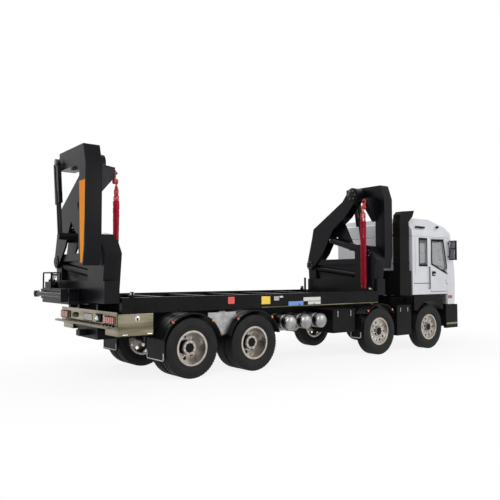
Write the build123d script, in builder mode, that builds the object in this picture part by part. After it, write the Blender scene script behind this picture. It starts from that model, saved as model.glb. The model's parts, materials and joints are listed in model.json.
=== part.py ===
from build123d import *
import os
from math import cos, radians, sin

# Truck-mounted side lifter: an eight-wheel rigid truck with a container crane at each end of its bed.
# Units are millimetres. +X points forward, +Y to the truck's left, +Z up, and the ground is Z = 0.

# Fits
FIT = 0.3
RUN = 0.5
MOVE_GAP = 6

# Layout along the truck. The front twistlocks stay behind the cab, so a longer bay moves the tail back.
LOCK_HALF_X = 2926.5
BAY_FRONT_X = 1746.5
BAY_X = BAY_FRONT_X - LOCK_HALF_X
CRANE_GAP = 223.5
BOOM_IN = LOCK_HALF_X + CRANE_GAP
BOOM_OUT = BOOM_IN + 260
RAIL_REAR_X = BAY_X - BOOM_OUT + 190
STEER_FRONT_X = 3850
STEER_REAR_X = 2000
DRIVE_REAR_X = RAIL_REAR_X + 1420
DRIVE_FRONT_X = DRIVE_REAR_X + 1370

# Wheels and axles
TYRE_RADIUS = 525
TYRE_WIDTH = 280
TREAD_WIDTH = 236
BULGE_RADIUS = 415
BEAD_RADIUS = 291
BEAD_WIDTH = 196
RIM_WALL = 18
FLANGE_RADIUS = 308
FLANGE_INNER = 104.5
FLANGE_OUTER = 116
STEER_WHEEL_Y = 1050
DUAL_Y = 920
DUAL_HALF_PITCH = 160
DISC_WALL = 16
STEER_DISC_Y = 60
STEER_HUB_RADIUS = 105
DUAL_HUB_RADIUS = 125
HUB_REACH = 95
DUAL_HUB_REACH = 185
SPINDLE_RADIUS = 45
KINGPIN_Y = 870
KINGPIN_RADIUS = 25
KINGPIN_BOSS_RADIUS = 60
KINGPIN_HALF = 100
YOKE_WALL = 24
AXLE_BEAM = 110
AXLE_TUBE_RADIUS = 75
DIFF_RADIUS = 195

# Chassis
RAIL_IN = 380
RAIL_OUT = 450
RAIL_LOW = 700
RAIL_TOP = 1000
RAIL_FRONT_X = 4800
SPRING_HALF = 520
SPRING_TOP = 650
HITCH_BORE = 25

# Bed
BED_LOW = 1170
BED_TOP = 1430
BED_RAIL_TOP = 1300
SIDE_RAIL_IN = 1080
SIDE_RAIL_OUT = 1180
BED_FRONT_X = BAY_X + BOOM_IN - 20
BED_REAR_X = BAY_X - BOOM_IN + 30
LOCK_HALF_Y = 1129.5
LOCK_TOP = 1520
LOCK_FLANGE = 30
LOCK_FLANGE_RADIUS = 45
LOCK_SEAT = 20
LOCK_RADIUS = 30
POST_TOP = 1730
POST_AHEAD = 110
POST_RADIUS = 26

# Cab
CAB_REAR_X = 3170
CAB_FRONT_X = 4900
CAB_HALF = 1220
CAB_WALL = 60
CAB_LOW = 1320
CAB_FRONT_LOW = 1060
SEAM_Z = 2727
ROOF_TOP = 3200
DOOR_REAR_X = 3885
DOOR_FRONT_X = 4570
DOOR_LOW = 1390
DOOR_TOP = 2690
BELT_Z = 2050
PANE = 8
HINGE_X = DOOR_FRONT_X + 3
HINGE_Y = CAB_HALF + 18
HINGE_PIN = 8
HINGE_BARREL = 14
HINGE_Z = [1590, 1850]
HINGE_TALL = 90
MIRROR_IN = CAB_HALF + 40
MIRROR_WIDE = 190
BUMPER_FRONT_X = 5000
BUMPER_LOW = 460

# Cranes, as distances from the middle of the container bay
SLING_OFF = BOOM_IN - 82
SLING_RING = (SLING_OFF - 15, SLING_OFF + 15)
SHACKLE_SPAN = (SLING_OFF + 24, SLING_OFF + 54)
WING_IN = BOOM_IN - 35
HANGER_OFF = BOOM_IN - 20
BOOM_PLATE = 35
ARM_IN = BOOM_OUT + 40
ARM_OUT = ARM_IN + 280
FOLD_OFF = ARM_OUT + 50
FOLD_RADIUS = 40
FOLD_ROD_RADIUS = 22
LIFT_RADIUS = 88
LIFT_ROD_RADIUS = 50
FOOT = (1050, 2050)
KNUCKLE = (-400, 3700)
LIFT_BASE = (-880, 2300)
LIFT_EYE = (450, 2680)
FOLD_FOOT = (-170, 2450)
FOLD_EYE = (30, 3740)
SLING_Y = -810
SLING_PIN_Z = 3500
LINK_PIN_Z = 3360
SLING_LOW = 1500
STRAND_RADIUS = 36
PIN_RADIUS = 45
KNUCKLE_PIN_RADIUS = 50
BASE_TOP = 1700
STAB_HALF_X = 90
STAB_LOW = 1345
STAB_HIGH = 1565
STAB_WALL = 20
LEG_Y = 1180
LEG_TUBE_RADIUS = 80
LEG_RADIUS = 50
LEG_DROP = 500
LEG_HINGE_Z = (STAB_LOW + STAB_HIGH) / 2
LEG_LONG = LEG_HINGE_Z - 10
LEG_SIDE = 165
LEG_BAR_RADIUS = 40
LEG_EYE_RADIUS = 60
LEG_PIN_RADIUS = 30
PAD_WALL = 35
PAD_RADIUS = 110
PAD_HALF_X = 65

SIDES = [("left", 1), ("right", -1)]
STEER_AXLES = [("steer_front", STEER_FRONT_X), ("steer_rear", STEER_REAR_X)]
DRIVE_AXLES = [("drive_front", DRIVE_FRONT_X), ("drive_rear", DRIVE_REAR_X)]
# Columns: name, way from the bay's middle, stabiliser's distance from it, whether its leg swings down
CRANES = [("front", 1, BOOM_IN + 800, False), ("rear", -1, BOOM_IN + 410, True)]

os.makedirs("parts", exist_ok=True)


def prism(plane, points, width, mode=Mode.ADD):
    """Straight prism of a polygon, centred across its plane."""
    with BuildSketch(plane) as outline:
        with BuildLine():
            Polyline(*points, close=True)
        make_face()
    extrude(outline.sketch, amount=width / 2, both=True, mode=mode)


def block(x_span, y_span, z_span, mode=Mode.ADD):
    """Box between three pairs of limits."""
    spans = (x_span, y_span, z_span)
    with Locations(tuple((a + b) / 2 for a, b in spans)):
        Box(*[abs(b - a) for a, b in spans], mode=mode)


def bar(start, end, radius, mode=Mode.ADD):
    """Round bar between two points."""
    way = Vector(*end) - Vector(*start)
    with BuildSketch(Plane(origin=start, z_dir=way)) as section:
        Circle(radius)
    extrude(section.sketch, amount=way.length, mode=mode)


def turned(x, points, mode=Mode.ADD):
    """Ring turned about a wheel's axis from (y, radius) points."""
    with BuildSketch(Plane.YZ.offset(x)) as section:
        with BuildLine():
            Polyline(*[(y, TYRE_RADIUS + r) for y, r in points], close=True)
        make_face()
    revolve(section.sketch, axis=Axis((x, 0, TYRE_RADIUS), (0, 1, 0)), mode=mode)


def along(start, end, distance):
    """Point at a distance from the start of a line in a crane's plane."""
    way = Vector(*end) - Vector(*start)
    point = Vector(*start) + way * (distance / way.length)
    return point.X, point.Y


def save(builder, name):
    """Label a finished piece and write it."""
    builder.part.label = name
    export_step(builder.part, f"parts/{name}.step")


def save_group(builders, name):
    """Write pieces that stand on each other, but aren't fused, as one."""
    solids = [solid for builder in builders for solid in builder.part.solids()]
    export_step(Compound(solids, label=name), f"parts/{name}.step")


# Tyres and rims
def tyre_ring(x, middle):
    """One tyre's ring about its middle plane."""
    half = [(BEAD_WIDTH / 2, BEAD_RADIUS), (TYRE_WIDTH / 2, BULGE_RADIUS), (TREAD_WIDTH / 2, TYRE_RADIUS)]
    turned(x, [(middle + y, r) for y, r in half] + [(middle - y, r) for y, r in reversed(half)])


def rim_ring(x, middle):
    """One rim's well and flanges about its middle plane."""
    seat = BEAD_RADIUS - FIT
    half = [
        (FLANGE_INNER, seat),
        (FLANGE_INNER, FLANGE_RADIUS),
        (FLANGE_OUTER, FLANGE_RADIUS),
        (FLANGE_OUTER, seat - RIM_WALL),
    ]
    turned(x, [(middle + y, r) for y, r in half] + [(middle - y, r) for y, r in reversed(half)])


def wheel_disc(x, face_y, thickness, count, hole_radius, hole_circle):
    """Disc inside a rim, with a ring of hand holes."""
    edge = BEAD_RADIUS - RIM_WALL / 2
    bar((x, face_y - thickness / 2, TYRE_RADIUS), (x, face_y + thickness / 2, TYRE_RADIUS), edge)
    for i in range(count):
        angle = radians(360 * i / count)
        hole_x = x + hole_circle * cos(angle)
        hole_z = TYRE_RADIUS + hole_circle * sin(angle)
        ends = [(hole_x, face_y + k * thickness, hole_z) for k in (-1, 1)]
        bar(ends[0], ends[1], hole_radius, mode=Mode.SUBTRACT)


for axle, x in STEER_AXLES:
    for side_name, side in SIDES:
        middle = side * STEER_WHEEL_Y
        with BuildPart() as tyre:
            tyre_ring(x, middle)
        save(tyre, f"tyre_{axle}_{side_name}")

        disc_y = middle + side * STEER_DISC_Y
        hub_in = middle - side * STEER_DISC_Y
        with BuildPart() as rim:
            rim_ring(x, middle)
            wheel_disc(x, disc_y, DISC_WALL, 10, 28, 205)
            bar((x, hub_in, TYRE_RADIUS), (x, middle + side * HUB_REACH, TYRE_RADIUS), STEER_HUB_RADIUS)
            bar((x, hub_in, TYRE_RADIUS), (x, disc_y, TYRE_RADIUS), SPINDLE_RADIUS + FIT, mode=Mode.SUBTRACT)
        save(rim, f"rim_{axle}_{side_name}")

        yoke_y = side * (STEER_WHEEL_Y - STEER_DISC_Y - 2 * YOKE_WALL)
        with BuildPart() as knuckle:
            pin = [(x, side * KINGPIN_Y, TYRE_RADIUS + k * KINGPIN_HALF) for k in (-1, 1)]
            bar(pin[0], pin[1], KINGPIN_RADIUS)
            for k in (-1, 1):
                arm = (TYRE_RADIUS + k * KINGPIN_HALF, TYRE_RADIUS + k * (KINGPIN_HALF - YOKE_WALL))
                block((x - 40, x + 40), (side * (KINGPIN_Y - 40), yoke_y + side * YOKE_WALL), arm)
            tall = (TYRE_RADIUS - KINGPIN_HALF, TYRE_RADIUS + KINGPIN_HALF)
            block((x - 60, x + 60), (yoke_y, yoke_y + side * YOKE_WALL), tall)
            bar((x, yoke_y, TYRE_RADIUS), (x, disc_y - side * 8, TYRE_RADIUS), SPINDLE_RADIUS)
        save(knuckle, f"knuckle_{axle}_{side_name}")

for axle, x in DRIVE_AXLES:
    for side_name, side in SIDES:
        middle = side * DUAL_Y
        with BuildPart() as tyre:
            for k in (-1, 1):
                tyre_ring(x, middle + k * DUAL_HALF_PITCH)
        save(tyre, f"tyre_{axle}_{side_name}")

        link = DUAL_HALF_PITCH - FLANGE_OUTER
        seat = BEAD_RADIUS - FIT
        hub_in = middle - side * 40
        with BuildPart() as rim:
            for k in (-1, 1):
                rim_ring(x, middle + k * DUAL_HALF_PITCH)
            well = [(-link, seat), (link, seat), (link, seat - RIM_WALL), (-link, seat - RIM_WALL)]
            turned(x, [(middle + y, r) for y, r in well])
            wheel_disc(x, middle, 1.5 * DISC_WALL, 8, 36, 195)
            hub_out = middle + side * DUAL_HUB_REACH
            bar((x, hub_in, TYRE_RADIUS), (x, hub_out, TYRE_RADIUS), DUAL_HUB_RADIUS)
            bore_out = hub_out - side * 2 * DISC_WALL
            bore = [(x, hub_in, TYRE_RADIUS), (x, bore_out, TYRE_RADIUS)]
            bar(bore[0], bore[1], SPINDLE_RADIUS + FIT, mode=Mode.SUBTRACT)
        save(rim, f"rim_{axle}_{side_name}")

# Axles with their leaf springs
with BuildPart() as axles:
    for _, x in STEER_AXLES:
        beam = AXLE_BEAM / 2
        block((x - beam, x + beam), (-KINGPIN_Y, KINGPIN_Y), (TYRE_RADIUS - beam, TYRE_RADIUS + beam))
        for side in (-1, 1):
            boss = KINGPIN_HALF - YOKE_WALL - RUN
            ends = [(x, side * KINGPIN_Y, TYRE_RADIUS + k * boss) for k in (-1, 1)]
            bar(ends[0], ends[1], KINGPIN_BOSS_RADIUS)
            bar(ends[0], ends[1], KINGPIN_RADIUS + FIT, mode=Mode.SUBTRACT)
    for _, x in DRIVE_AXLES:
        reach = DUAL_Y + DUAL_HUB_REACH - 3 * DISC_WALL
        bar((x, -reach, TYRE_RADIUS), (x, reach, TYRE_RADIUS), SPINDLE_RADIUS)
        tube = DUAL_Y - DUAL_HALF_PITCH - TYRE_WIDTH / 2 - MOVE_GAP
        bar((x, -tube, TYRE_RADIUS), (x, tube, TYRE_RADIUS), AXLE_TUBE_RADIUS)
        bar((x - DIFF_RADIUS, 0, TYRE_RADIUS), (x + DIFF_RADIUS, 0, TYRE_RADIUS), DIFF_RADIUS)
    for _, x in STEER_AXLES + DRIVE_AXLES:
        for side in (-1, 1):
            across = (side * RAIL_IN, side * RAIL_OUT)
            block((x - SPRING_HALF, x + SPRING_HALF), across, (SPRING_TOP - 50, SPRING_TOP))
            block((x - 80, x + 80), across, (TYRE_RADIUS, SPRING_TOP))
            for end in (-1, 1):
                hanger = (x + end * (SPRING_HALF - 60), x + end * SPRING_HALF)
                block(hanger, across, (SPRING_TOP - 50, RAIL_LOW))
save(axles, "axles")

# Chassis frame: two rails, crossmembers, cab posts, tow hitch, battery box and side box
CROSSMEMBER_X = [RAIL_REAR_X + 100, (DRIVE_REAR_X + DRIVE_FRONT_X) / 2, -700, 900, 2700, 4700]
HITCH_X = RAIL_REAR_X - 110
BATTERY_X = (560, 1240)
SIDE_BOX_X = (2650, 3180)
with BuildPart() as chassis_rails:
    for side in (-1, 1):
        block((RAIL_REAR_X, RAIL_FRONT_X), (side * RAIL_IN, side * RAIL_OUT), (RAIL_LOW, RAIL_TOP))
with BuildPart() as chassis_crossmembers:
    for x in CROSSMEMBER_X[1:]:
        block((x - 40, x + 40), (-RAIL_IN, RAIL_IN), (RAIL_LOW + 80, RAIL_TOP - 80))
with BuildPart() as chassis_posts:
    for side in (-1, 1):
        for post_x in (CAB_REAR_X + 100, DOOR_FRONT_X + 60):
            block((post_x - 50, post_x + 50), (side * RAIL_IN, side * RAIL_OUT), (RAIL_TOP, CAB_LOW))
with BuildPart() as chassis_tail:
    x = CROSSMEMBER_X[0]
    block((x - 40, x + 40), (-RAIL_IN, RAIL_IN), (RAIL_LOW + 80, RAIL_TOP - 80))
    block((RAIL_REAR_X, RAIL_REAR_X + 60), (-RAIL_IN, RAIL_IN), (RAIL_LOW, RAIL_TOP - 80))
    block((HITCH_X - 60, RAIL_REAR_X), (-80, 80), (RAIL_LOW + 50, RAIL_LOW + 150))
    bar((HITCH_X, 0, RAIL_LOW), (HITCH_X, 0, RAIL_TOP), HITCH_BORE, mode=Mode.SUBTRACT)
with BuildPart() as chassis_boxes:
    block(BATTERY_X, (-1120, -RAIL_OUT - 90), (560, 1060))
    block((BATTERY_X[0] + 80, BATTERY_X[1] - 80), (-RAIL_OUT - 90, -RAIL_OUT), (760, 900))
    block(SIDE_BOX_X, (-1150, -RAIL_OUT - 90), (380, 1080))
    block((SIDE_BOX_X[0] + 80, SIDE_BOX_X[1] - 80), (-RAIL_OUT - 90, -RAIL_OUT), (760, 900))
ladder = [chassis_rails, chassis_crossmembers, chassis_posts, chassis_tail, chassis_boxes]
save_group(ladder, "chassis_frame")

# Engine and gearbox, one plain block between the rails
ENGINE_X = (2960, 4480)
with BuildPart() as engine:
    block(ENGINE_X, (-RAIL_IN, RAIL_IN), (RAIL_LOW, RAIL_TOP - 100))
    block((ENGINE_X[0] + 500, ENGINE_X[1]), (-RAIL_IN + 40, RAIL_IN - 40), (RAIL_TOP - 100, CAB_LOW - 80))
save(engine, "engine")

# Container bed: two bearers, side rails, cross beams, twistlocks and a guide post, seated in the rails
SEATS = [(BAY_X + end * LOCK_HALF_X, side * LOCK_HALF_Y, LOCK_FLANGE_RADIUS)
         for end in (-1, 1) for side in (-1, 1)]
SEATS += [(BAY_X + LOCK_HALF_X + POST_AHEAD, LOCK_HALF_Y, POST_RADIUS)]
with BuildPart() as bed_frame:
    for side in (-1, 1):
        block((RAIL_REAR_X, BAY_X + ARM_OUT), (side * RAIL_IN, side * RAIL_OUT), (RAIL_TOP, BED_RAIL_TOP))
        rail = (side * SIDE_RAIL_IN, side * SIDE_RAIL_OUT)
        block((BED_REAR_X, BED_FRONT_X), rail, (BED_LOW, BED_TOP))
    for *spot, radius in SEATS:
        seat = [(*spot, BED_TOP - LOCK_SEAT), (*spot, BED_TOP + 10)]
        bar(seat[0], seat[1], radius + FIT, mode=Mode.SUBTRACT)
with BuildPart() as bed_beams:
    for share in (-1, -2 / 3, -1 / 3, 0, 1 / 3, 2 / 3, 1):
        x = BAY_X + share * LOCK_HALF_X
        block((x - 60, x + 60), (-SIDE_RAIL_IN, SIDE_RAIL_IN), (BED_RAIL_TOP, BED_TOP - 30))
with BuildPart() as bed_locks:
    for *spot, radius in SEATS[:4]:
        bar((*spot, BED_TOP - LOCK_SEAT), (*spot, BED_TOP + LOCK_FLANGE), radius)
        bar((*spot, BED_TOP), (*spot, LOCK_TOP), LOCK_RADIUS)
    *post, radius = SEATS[4]
    bar((*post, BED_TOP - LOCK_SEAT), (*post, POST_TOP), radius)
save_group([bed_frame, bed_beams, bed_locks], "bed_frame")

# Mudguards. Columns: axle, inner radius, lowest angle, inner edge, outer edge
GUARDS = [
    (STEER_FRONT_X, 640, 40, 880, CAB_HALF - 15),
    (STEER_REAR_X, 600, 42, 880, CAB_HALF - 5),
    (DRIVE_FRONT_X, 590, 16, 610, CAB_HALF + 15),
    (DRIVE_REAR_X, 590, 16, 610, CAB_HALF + 15),
]
GUARD_WALL = 12
SKIRT = [(3230, CAB_LOW - 10), (4300, CAB_LOW - 10), (4390, 1180), (4390, 950), (3230, 950)]
SKIRT_WALL = 20
FLAP_LOW = 330
with BuildPart() as mudguards:
    for x, radius, low, inner, outer in GUARDS:
        outside = radius + GUARD_WALL
        for side in (-1, 1):
            with BuildSketch(Plane.XZ.offset(-side * (inner + outer) / 2)) as arch:
                with BuildLine():
                    corners = [(radius, low), (radius, 180 - low), (outside, 180 - low), (outside, low)]
                    ends = [(x + r * cos(radians(a)), TYRE_RADIUS + r * sin(radians(a))) for r, a in corners]
                    ThreePointArc(ends[0], (x, TYRE_RADIUS + radius), ends[1])
                    Line(ends[1], ends[2])
                    ThreePointArc(ends[2], (x, TYRE_RADIUS + outside), ends[3])
                    Line(ends[3], ends[0])
                make_face()
            extrude(arch.sketch, amount=(outer - inner) / 2, both=True)
            top = TYRE_RADIUS + radius
            block((x - 30, x + 30), (side * RAIL_OUT, side * (inner + 60)), (top, top + GUARD_WALL))
            stay = (side * RAIL_OUT, side * (RAIL_OUT + 14))
            block((x - 30, x + 30), stay, (RAIL_TOP - 80, top + GUARD_WALL))
    for side in (-1, 1):
        x, radius, low, inner, outer = GUARDS[0]
        with BuildSketch(Plane.XZ.offset(-side * (outer - SKIRT_WALL / 2))) as skirt:
            with BuildLine():
                Polyline(*SKIRT, close=True)
            make_face()
            with Locations((x, TYRE_RADIUS)):
                Circle(radius, mode=Mode.SUBTRACT)
        extrude(skirt.sketch, amount=SKIRT_WALL / 2, both=True)
        x, radius, low, inner, outer = GUARDS[3]
        flap_x = x - (radius + GUARD_WALL) * cos(radians(low))
        flap_top = TYRE_RADIUS + radius * sin(radians(low)) + 20
        block((flap_x, flap_x + GUARD_WALL), (side * inner, side * outer), (FLAP_LOW, flap_top))
        x, radius, low, inner, outer = GUARDS[1]
        flap_x = x - radius - 50
        block((flap_x, flap_x + GUARD_WALL), (side * inner, side * outer), (FLAP_LOW + 60, 820))
        block((flap_x, flap_x + 40), (side * RAIL_OUT, side * outer), (820, 850))
save(mudguards, "mudguards")

# Polished boxes: air tanks and fuel tank, tail panel with lamp housings, step bar, tool boxes, stone guards
AIR_TANK_RADIUS = 145
AIR_TANK_Z = 850
AIR_TANK_END = 120 - CAB_HALF
AIR_TANK_X = [DRIVE_FRONT_X + 992 + 427 * k for k in range(3)]
AIR_TANK_X = [x for x in AIR_TANK_X if x + AIR_TANK_RADIUS < BATTERY_X[0]]
FUEL_X = (DRIVE_FRONT_X + 790, 1120)
FUEL_Y = (560, CAB_HALF - 70)
TAIL_Z = (950, 1200)
TAIL_FACE_X = RAIL_REAR_X - 12
STEP_X = (RAIL_REAR_X - 150, RAIL_REAR_X - 80)
TOOLBOX_X = (RAIL_REAR_X + 20, DRIVE_REAR_X - 770)
TOOLBOX_IN = CAB_HALF - 500
TAIL_HALF = CAB_HALF - 20
STONE_Y = CAB_HALF - 120
with BuildPart() as polished_boxes:
    for x in AIR_TANK_X:
        bar((x, -RAIL_OUT, AIR_TANK_Z), (x, AIR_TANK_END, AIR_TANK_Z), AIR_TANK_RADIUS)
    fillet(polished_boxes.faces().sort_by(Axis.Y)[:len(AIR_TANK_X)].edges(), radius=110)
    block(FUEL_X, FUEL_Y, (480, 1040))
    fillet(polished_boxes.solids().sort_by(Axis.Y)[-1].edges().filter_by(Axis.X), radius=90)
    for x in (FUEL_X[0] + 200, FUEL_X[1] - 200):
        block((x - 40, x + 40), (RAIL_OUT, FUEL_Y[0] + 10), (720, 860))
    block((TAIL_FACE_X, RAIL_REAR_X), (-CAB_HALF, CAB_HALF), TAIL_Z)
    for side in (-1, 1):
        lamp_y = (side * (TAIL_HALF - 370), side * (TAIL_HALF - 10))
        block((TAIL_FACE_X - 28, TAIL_FACE_X), lamp_y, (1010, 1130))
        block((STEP_X[1], TAIL_FACE_X), (side * 500, side * 560), (958, 972))
        block(TOOLBOX_X, (side * TOOLBOX_IN, side * TAIL_HALF), (810, BED_LOW - 5))
        for x in (TOOLBOX_X[0] + 110, TOOLBOX_X[1] - 110):
            block((x - 50, x + 50), (side * RAIL_OUT, side * TOOLBOX_IN), (860, 940))
        stone_x = (DRIVE_REAR_X + DRIVE_FRONT_X) / 2
        block((stone_x - 70, stone_x + 70), (side * STONE_Y, side * (STONE_Y + 12)), (700, BED_LOW - 30))
        block((stone_x - 30, stone_x + 30), (side * RAIL_OUT, side * STONE_Y), (900, 930))
    block(STEP_X, (-TAIL_HALF, TAIL_HALF), (940, 975))
save(polished_boxes, "polished_boxes")

# Cab body: floor, rear wall, rear side panels, sills and door headers
QUARTER = [(3430, 2040), (3730, 2040), (3730, 2660), (3430, 2660)]
SIDE_Y = CAB_HALF - CAB_WALL / 2
PILLAR_X = DOOR_FRONT_X + MOVE_GAP
with BuildPart() as cab_shell:
    floor_y = CAB_HALF - CAB_WALL
    block((CAB_REAR_X, CAB_FRONT_X - 2 * CAB_WALL), (-floor_y, floor_y), (CAB_LOW, DOOR_LOW - 10))
    block((CAB_REAR_X, CAB_REAR_X + CAB_WALL), (-CAB_HALF, CAB_HALF), (CAB_LOW, SEAM_Z))
    for side in (-1, 1):
        wall = (side * (CAB_HALF - CAB_WALL), side * CAB_HALF)
        block((CAB_REAR_X, DOOR_REAR_X - MOVE_GAP), wall, (CAB_LOW, SEAM_Z))
        block((CAB_REAR_X, PILLAR_X), wall, (CAB_LOW, DOOR_LOW - 10))
        block((CAB_REAR_X, PILLAR_X - 140), wall, (DOOR_TOP + MOVE_GAP, SEAM_Z))
        prism(Plane.XZ.offset(-side * SIDE_Y), QUARTER, 2 * CAB_WALL, mode=Mode.SUBTRACT)
save(cab_shell, "cab_shell")

# Cab front: raked front wall with the windscreen opening, and the windscreen pillars
FRONT_LINE = [(4870, CAB_FRONT_LOW), (CAB_FRONT_X, 1500), (4890, 1900), (4740, SEAM_Z)]
FRONT_WALL = FRONT_LINE + [(x - CAB_WALL, z) for x, z in reversed(FRONT_LINE)]
SCREEN_HALF = 1085
SCREEN_Z = (1950, 2665)
DOOR_SLOPE = [(DOOR_FRONT_X, BELT_Z), (DOOR_FRONT_X - 130, DOOR_TOP)]
with BuildPart() as cab_front:
    prism(Plane.XZ, FRONT_WALL, 2 * CAB_HALF)
    block((4500, 5000), (-SCREEN_HALF, SCREEN_HALF), SCREEN_Z, mode=Mode.SUBTRACT)
    pillar = [(PILLAR_X, CAB_FRONT_LOW), (4840, CAB_FRONT_LOW), (4860, 1500), (4850, 1900), (4700, SEAM_Z)]
    pillar += [(PILLAR_X - 140, SEAM_Z), (PILLAR_X - 130, DOOR_TOP + MOVE_GAP), (PILLAR_X, BELT_Z)]
    for side in (-1, 1):
        prism(Plane.XZ.offset(-side * SIDE_Y), pillar, CAB_WALL)
        for z in HINGE_Z:
            block((HINGE_X, HINGE_X + 50), (side * CAB_HALF, side * (HINGE_Y + HINGE_BARREL)), (z - 20, z))
            bar((HINGE_X, side * HINGE_Y, z - 20), (HINGE_X, side * HINGE_Y, z), HINGE_BARREL)
            bar((HINGE_X, side * HINGE_Y, z), (HINGE_X, side * HINGE_Y, z + HINGE_TALL), HINGE_PIN)
save(cab_front, "cab_front")

# High cab roof, hollow and open below
ROOF_SIDE = [(CAB_REAR_X, SEAM_Z), (CAB_REAR_X, 3060), (3270, ROOF_TOP), (4200, ROOF_TOP)]
ROOF_SIDE += [(4640, 3010), (4740, 2800), (4740, SEAM_Z)]
ROOF_CUT = [(CAB_HALF, 2870), (CAB_HALF, ROOF_TOP + 10), (930, ROOF_TOP + 10)]
with BuildPart() as cab_roof:
    prism(Plane.XZ, ROOF_SIDE, 2 * CAB_HALF)
    for side in (-1, 1):
        prism(Plane.YZ.offset(4000), [(side * y, z) for y, z in ROOF_CUT], 3000, mode=Mode.SUBTRACT)
    offset(amount=-CAB_WALL, openings=cab_roof.faces().sort_by(Axis.Z)[0])
save(cab_roof, "cab_roof")

# Fixed glass: windscreen and quarter lights
with BuildPart() as cab_glass:
    screen = [(x - CAB_WALL / 3, z) for x, z in FRONT_LINE]
    screen += [(x - CAB_WALL / 3 - PANE, z) for x, z in reversed(FRONT_LINE)]
    prism(Plane.XZ, screen, 2 * SCREEN_HALF)
    block((4500, 5000), (-CAB_HALF, CAB_HALF), SCREEN_Z, mode=Mode.INTERSECT)
    for side in (-1, 1):
        prism(Plane.XZ.offset(-side * SIDE_Y), QUARTER, PANE)
save(cab_glass, "cab_glass")

# Doors, hung at their front edge, with their glass
DOOR = [(DOOR_REAR_X, DOOR_LOW), (DOOR_FRONT_X, DOOR_LOW), *DOOR_SLOPE, (DOOR_REAR_X, DOOR_TOP)]
WINDOW = [(3935, 2070), (4525, 1850), (4525, BELT_Z), (4405, 2645), (3935, 2645)]
for side_name, side in SIDES:
    door_plane = Plane.XZ.offset(-side * SIDE_Y)
    with BuildPart() as door:
        prism(door_plane, DOOR, CAB_WALL)
        prism(door_plane, WINDOW, 2 * CAB_WALL, mode=Mode.SUBTRACT)
        for z in HINGE_Z:
            leaf = (z + RUN, z + HINGE_TALL)
            block((HINGE_X - 60, HINGE_X), (side * (CAB_HALF - 10), side * (HINGE_Y + HINGE_PIN)), leaf)
            leaf_y = (side * (CAB_HALF - 10), side * CAB_HALF)
            block((DOOR_FRONT_X, HINGE_X), leaf_y, leaf, mode=Mode.SUBTRACT)
            bar((HINGE_X, side * HINGE_Y, leaf[0]), (HINGE_X, side * HINGE_Y, leaf[1]), HINGE_BARREL)
            ends = [(HINGE_X, side * HINGE_Y, end) for end in (z, z + HINGE_TALL + 5)]
            bar(ends[0], ends[1], HINGE_PIN + FIT, mode=Mode.SUBTRACT)
        block((3960, 4060), (side * (CAB_HALF - 10), side * (CAB_HALF + 25)), (1800, 1850))
    save(door, f"door_{side_name}")
    with BuildPart() as door_glass:
        prism(door_plane, WINDOW, PANE)
    save(door_glass, f"door_glass_{side_name}")

# Cab interior: two seats, dashboard, steering column and wheel
SEAT_Y = 620
STEERING = [(4500, -SEAT_Y, 1790), (4330, -SEAT_Y, 1930)]
with BuildPart() as cab_interior:
    for side in (-1, 1):
        seat = side * SEAT_Y
        block((3580, 3880), (seat - 150, seat + 150), (DOOR_LOW - 10, 1570))
        block((3480, 3990), (seat - 250, seat + 250), (1570, 1690))
        block((3440, 3560), (seat - 240, seat + 240), (1570, 2300))
        block((3450, 3540), (seat - 130, seat + 130), (2300, 2480))
    block((4490, 4760), (-CAB_HALF + CAB_WALL + 10, CAB_HALF - CAB_WALL - 10), (1560, 1840))
    block((4600, 4760), (-CAB_HALF + CAB_WALL + 10, CAB_HALF - CAB_WALL - 10), (DOOR_LOW - 10, 1560))
    bar((4540, -SEAT_Y, 1757), STEERING[1], 30)
    way = Vector(*STEERING[1]) - Vector(*STEERING[0])
    with BuildSketch(Plane(origin=STEERING[1], z_dir=way)) as ring:
        Circle(225)
        Circle(195, mode=Mode.SUBTRACT)
        Rectangle(400, 40)
    extrude(ring.sketch, amount=28, both=True)
save(cab_interior, "cab_interior")

# Mirrors on arms from the windscreen pillars
with BuildPart() as mirrors:
    for side in (-1, 1):
        block((4590, 4660), (side * MIRROR_IN, side * (MIRROR_IN + MIRROR_WIDE)), (2170, 2660))
        for z in (2240, 2580):
            block((4610, 4640), (side * CAB_HALF, side * (MIRROR_IN + 90)), (z, z + 30))
save(mirrors, "mirrors")

# Front bumper with its corner wings
with BuildPart() as bumper:
    block((4810, BUMPER_FRONT_X), (-CAB_HALF, CAB_HALF), (BUMPER_LOW, CAB_FRONT_LOW - 10))
    wing_y = CAB_HALF - 120
    block((4700, 4940), (-wing_y, wing_y), (BUMPER_LOW - 50, CAB_FRONT_LOW + 50), mode=Mode.SUBTRACT)
    for side in (-1, 1):
        block((4500, 4900), (side * (CAB_HALF - 80), side * CAB_HALF), (BUMPER_LOW, CAB_FRONT_LOW - 10))
        block((RAIL_FRONT_X, 4950), (side * RAIL_IN, side * RAIL_OUT), (RAIL_LOW + 50, RAIL_TOP - 50))
save(bumper, "bumper")

# Air intake stack behind the cab
STACK_X = (2720, 3060)
STACK_Y = (-1200, -1000)
with BuildPart() as intake_stack:
    block(STACK_X, STACK_Y, (1900, 3060))
    hood = [(STACK_X[0], 3040), (STACK_X[0] + 20, 3215), (STACK_X[0] + 120, 3300), (3275, 3345)]
    hood += [(3215, 3200), (STACK_X[1], 3060)]
    prism(Plane.XZ.offset(1100), hood, 200)
    block((STACK_X[0] - 20, 3130), (-1210, -700), (1320, 1900))
    block((STACK_X[0] - 20, 3130), (-710, -RAIL_IN), (1320, 1420))
    block((STACK_X[0] + 40, STACK_X[1] - 40), (-RAIL_OUT, -RAIL_IN), (RAIL_TOP, 1320))
save(intake_stack, "intake_stack")

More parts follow.
